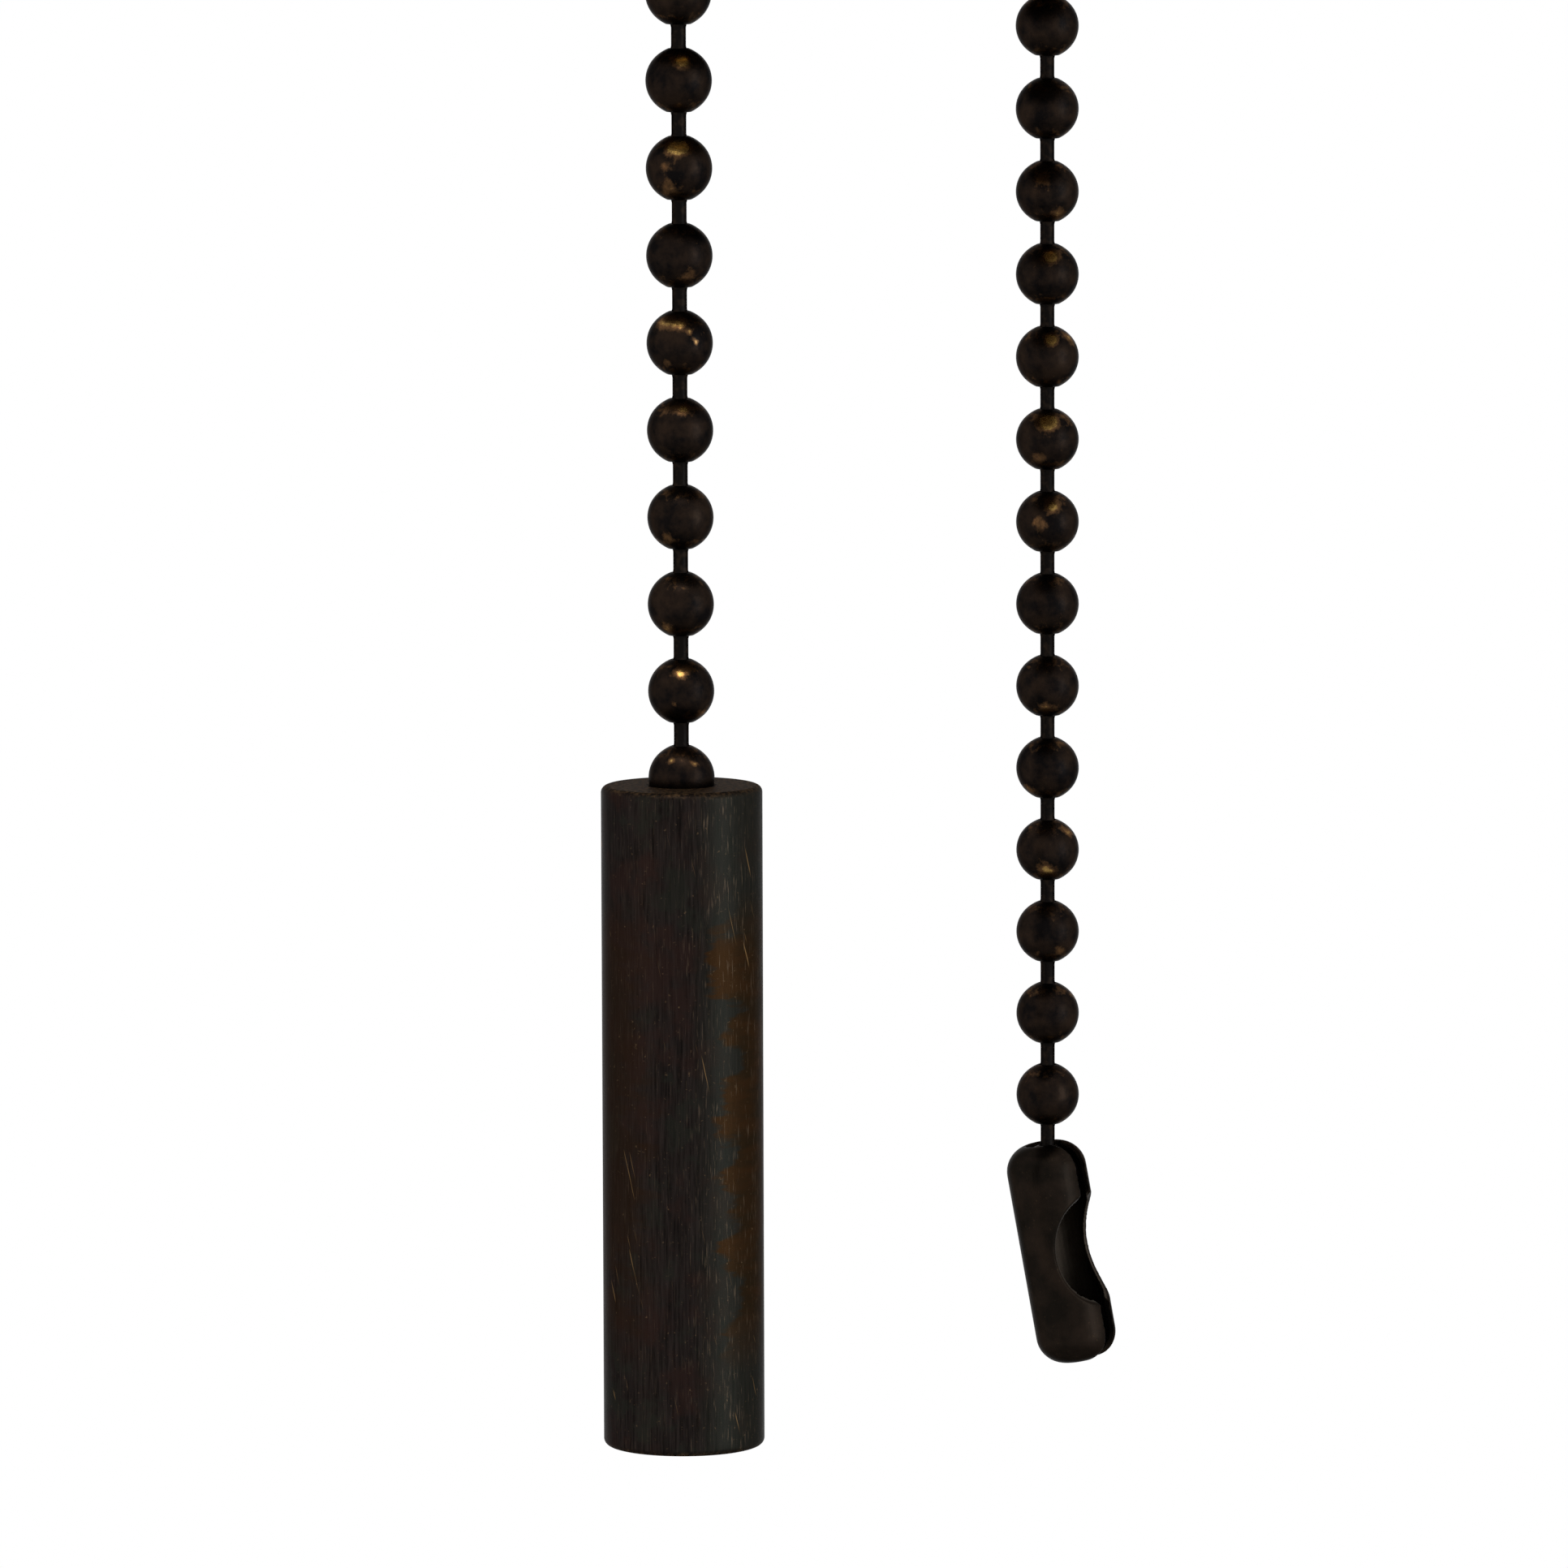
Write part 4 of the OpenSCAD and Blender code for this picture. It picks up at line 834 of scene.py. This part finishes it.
outside = add(tree, "Mix", {"data_type": "RGBA"}, {0: rubbed, 6: ground, 7: linear("#4A3A2A")}).outputs[2]
inside = add(tree, "Attribute", {"attribute_name": "inside"}, {}).outputs["Fac"]
# the inside's paler colour is painted light, lifting the shade in the tube
colour = add(tree, "Mix", {"data_type": "RGBA"}, {0: inside, 6: outside, 7: linear("#38322C")}).outputs[2]
dull = add(tree, "MapRange", {},
           {"Value": clouds, "From Min": 0.3, "From Max": 0.7, "To Min": 0.32, "To Max": 0.46})
bump = add(tree, "Bump", {}, {"Height": grain, "Distance": 0.01 * MM, "Strength": 0.3}).outputs[0]
metal = add(tree, "BsdfPrincipled", {}, {"Base Color": colour, "Metallic": 1.0, "Roughness": dull.outputs[0],
                                        "Specular Tint": (0.5, 0.5, 0.5, 1.0), "Normal": bump})
add(tree, "OutputMaterial", {}, {"Surface": metal.outputs[0]})

# the copy's loose triangles are merged, and the remesh works in millimetres
sheet = frame["nodes"]["connector"].data.copy()
work = bmesh.new()
work.from_mesh(sheet)
bmesh.ops.remove_doubles(work, verts=work.verts, dist=MERGE)
work.to_mesh(sheet)
work.free()
sheet.transform(Matrix.Scale(1 / MM, 4))
connector = bpy.data.objects.new("connector_sleeve", sheet)
bpy.context.scene.collection.objects.link(connector)
remesh = connector.modifiers.new("remesh", "REMESH")
remesh.mode = "VOXEL"
remesh.voxel_size = CONNECTOR_VOXEL
smooth = connector.modifiers.new("smooth", "SMOOTH")
smooth.factor = 0.5
smooth.iterations = 3
rounded = bpy.data.meshes.new_from_object(connector.evaluated_get(bpy.context.evaluated_depsgraph_get()))
connector.modifiers.clear()
connector.data = rounded
rounded.name = "connector_sleeve"
rounded.transform(Matrix.Scale(MM, 4))
rounded.shade_smooth()
rounded.materials.clear()
rounded.materials.append(connector_skin)
paint(connector, "inside", inner_side)
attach(connector, "connector")
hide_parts("connector")


# ---------------------------------------------------------------- floor
# A plain floor painted a pale grey lies under the switch. It is low enough to leave room for a
# look straight up at the cup.

FLOOR_Z = -1300.0
FLOOR_R = 1600.0
FLOOR_ROWS = 20
FLOOR_AROUND = 96

floor_skin, tree, place = new_material("pale_floor")
paint_coat = add(tree, "BsdfPrincipled", {}, {"Base Color": linear("#E6E6E4"), "Roughness": 0.9,
                                             "Specular IOR Level": 0.1})
add(tree, "OutputMaterial", {}, {"Surface": paint_coat.outputs[0]})
floor_profile = np.column_stack([np.linspace(0.0, FLOOR_R, FLOOR_ROWS), np.full(FLOOR_ROWS, FLOOR_Z)])
floor = turned("floor", floor_profile, np.zeros(3), FLOOR_AROUND, False, floor_skin)


# ---------------------------------------------------------------- world and lamps
# The backdrop is white to the camera, to gloss and to glass, and a little dimmer as light. A
# soft lamp hangs above in front, with a cool strip at the right and a faint warm one left.

world = bpy.data.worlds.new("studio")
bpy.context.scene.world = world
world.use_nodes = True
tree = world.node_tree
tree.nodes.clear()
rays = add(tree, "LightPath", {}, {}).outputs
mirrored = add(tree, "Math", {"operation": "MAXIMUM"},
               {0: rays["Is Camera Ray"], 1: rays["Is Glossy Ray"]}).outputs[0]
seen = add(tree, "Math", {"operation": "MAXIMUM"}, {0: mirrored, 1: rays["Is Transmission Ray"]}).outputs[0]
sky = add(tree, "Mix", {"data_type": "RGBA"},
          {0: seen, 6: linear("#D2D2D2"), 7: linear("#FFFFFF")}).outputs[2]
air = add(tree, "Background", {}, {"Color": sky, "Strength": 1.0})
add(tree, "OutputWorld", {}, {"Surface": air.outputs[0]})


def softbox(name, side_angle, height_angle, distance, size, power, colour):
    """An area lamp that faces the pull, side_angle right of the camera and height_angle up."""
    side, up = math.radians(side_angle), math.radians(height_angle)
    level = -to_back * math.cos(side) + to_right * math.sin(side)
    way = level * math.cos(up) + np.array([0.0, 0.0, math.sin(up)])
    lamp = bpy.data.lights.new(name, "AREA")
    lamp.shape = "RECTANGLE"
    lamp.size, lamp.size_y = size[0] * MM, size[1] * MM
    lamp.energy = power
    lamp.color = linear(colour)[:3]
    holder = bpy.data.objects.new(name, lamp)
    bpy.context.scene.collection.objects.link(holder)
    facing = Vector(-way).to_track_quat("-Z", "Y").to_matrix().to_4x4()
    holder.matrix_world = Matrix.Translation(Vector((aim + way * distance) * MM)) @ facing


softbox("key", 8, 70, 600, (380, 260), 1.3, "#FFF6EA")
softbox("right_window", 60, 4, 700, (200, 520), 1.4, "#E0ECF4")
softbox("left_glow", -54, 0, 700, (120, 420), 0.15, "#FFE2BC")
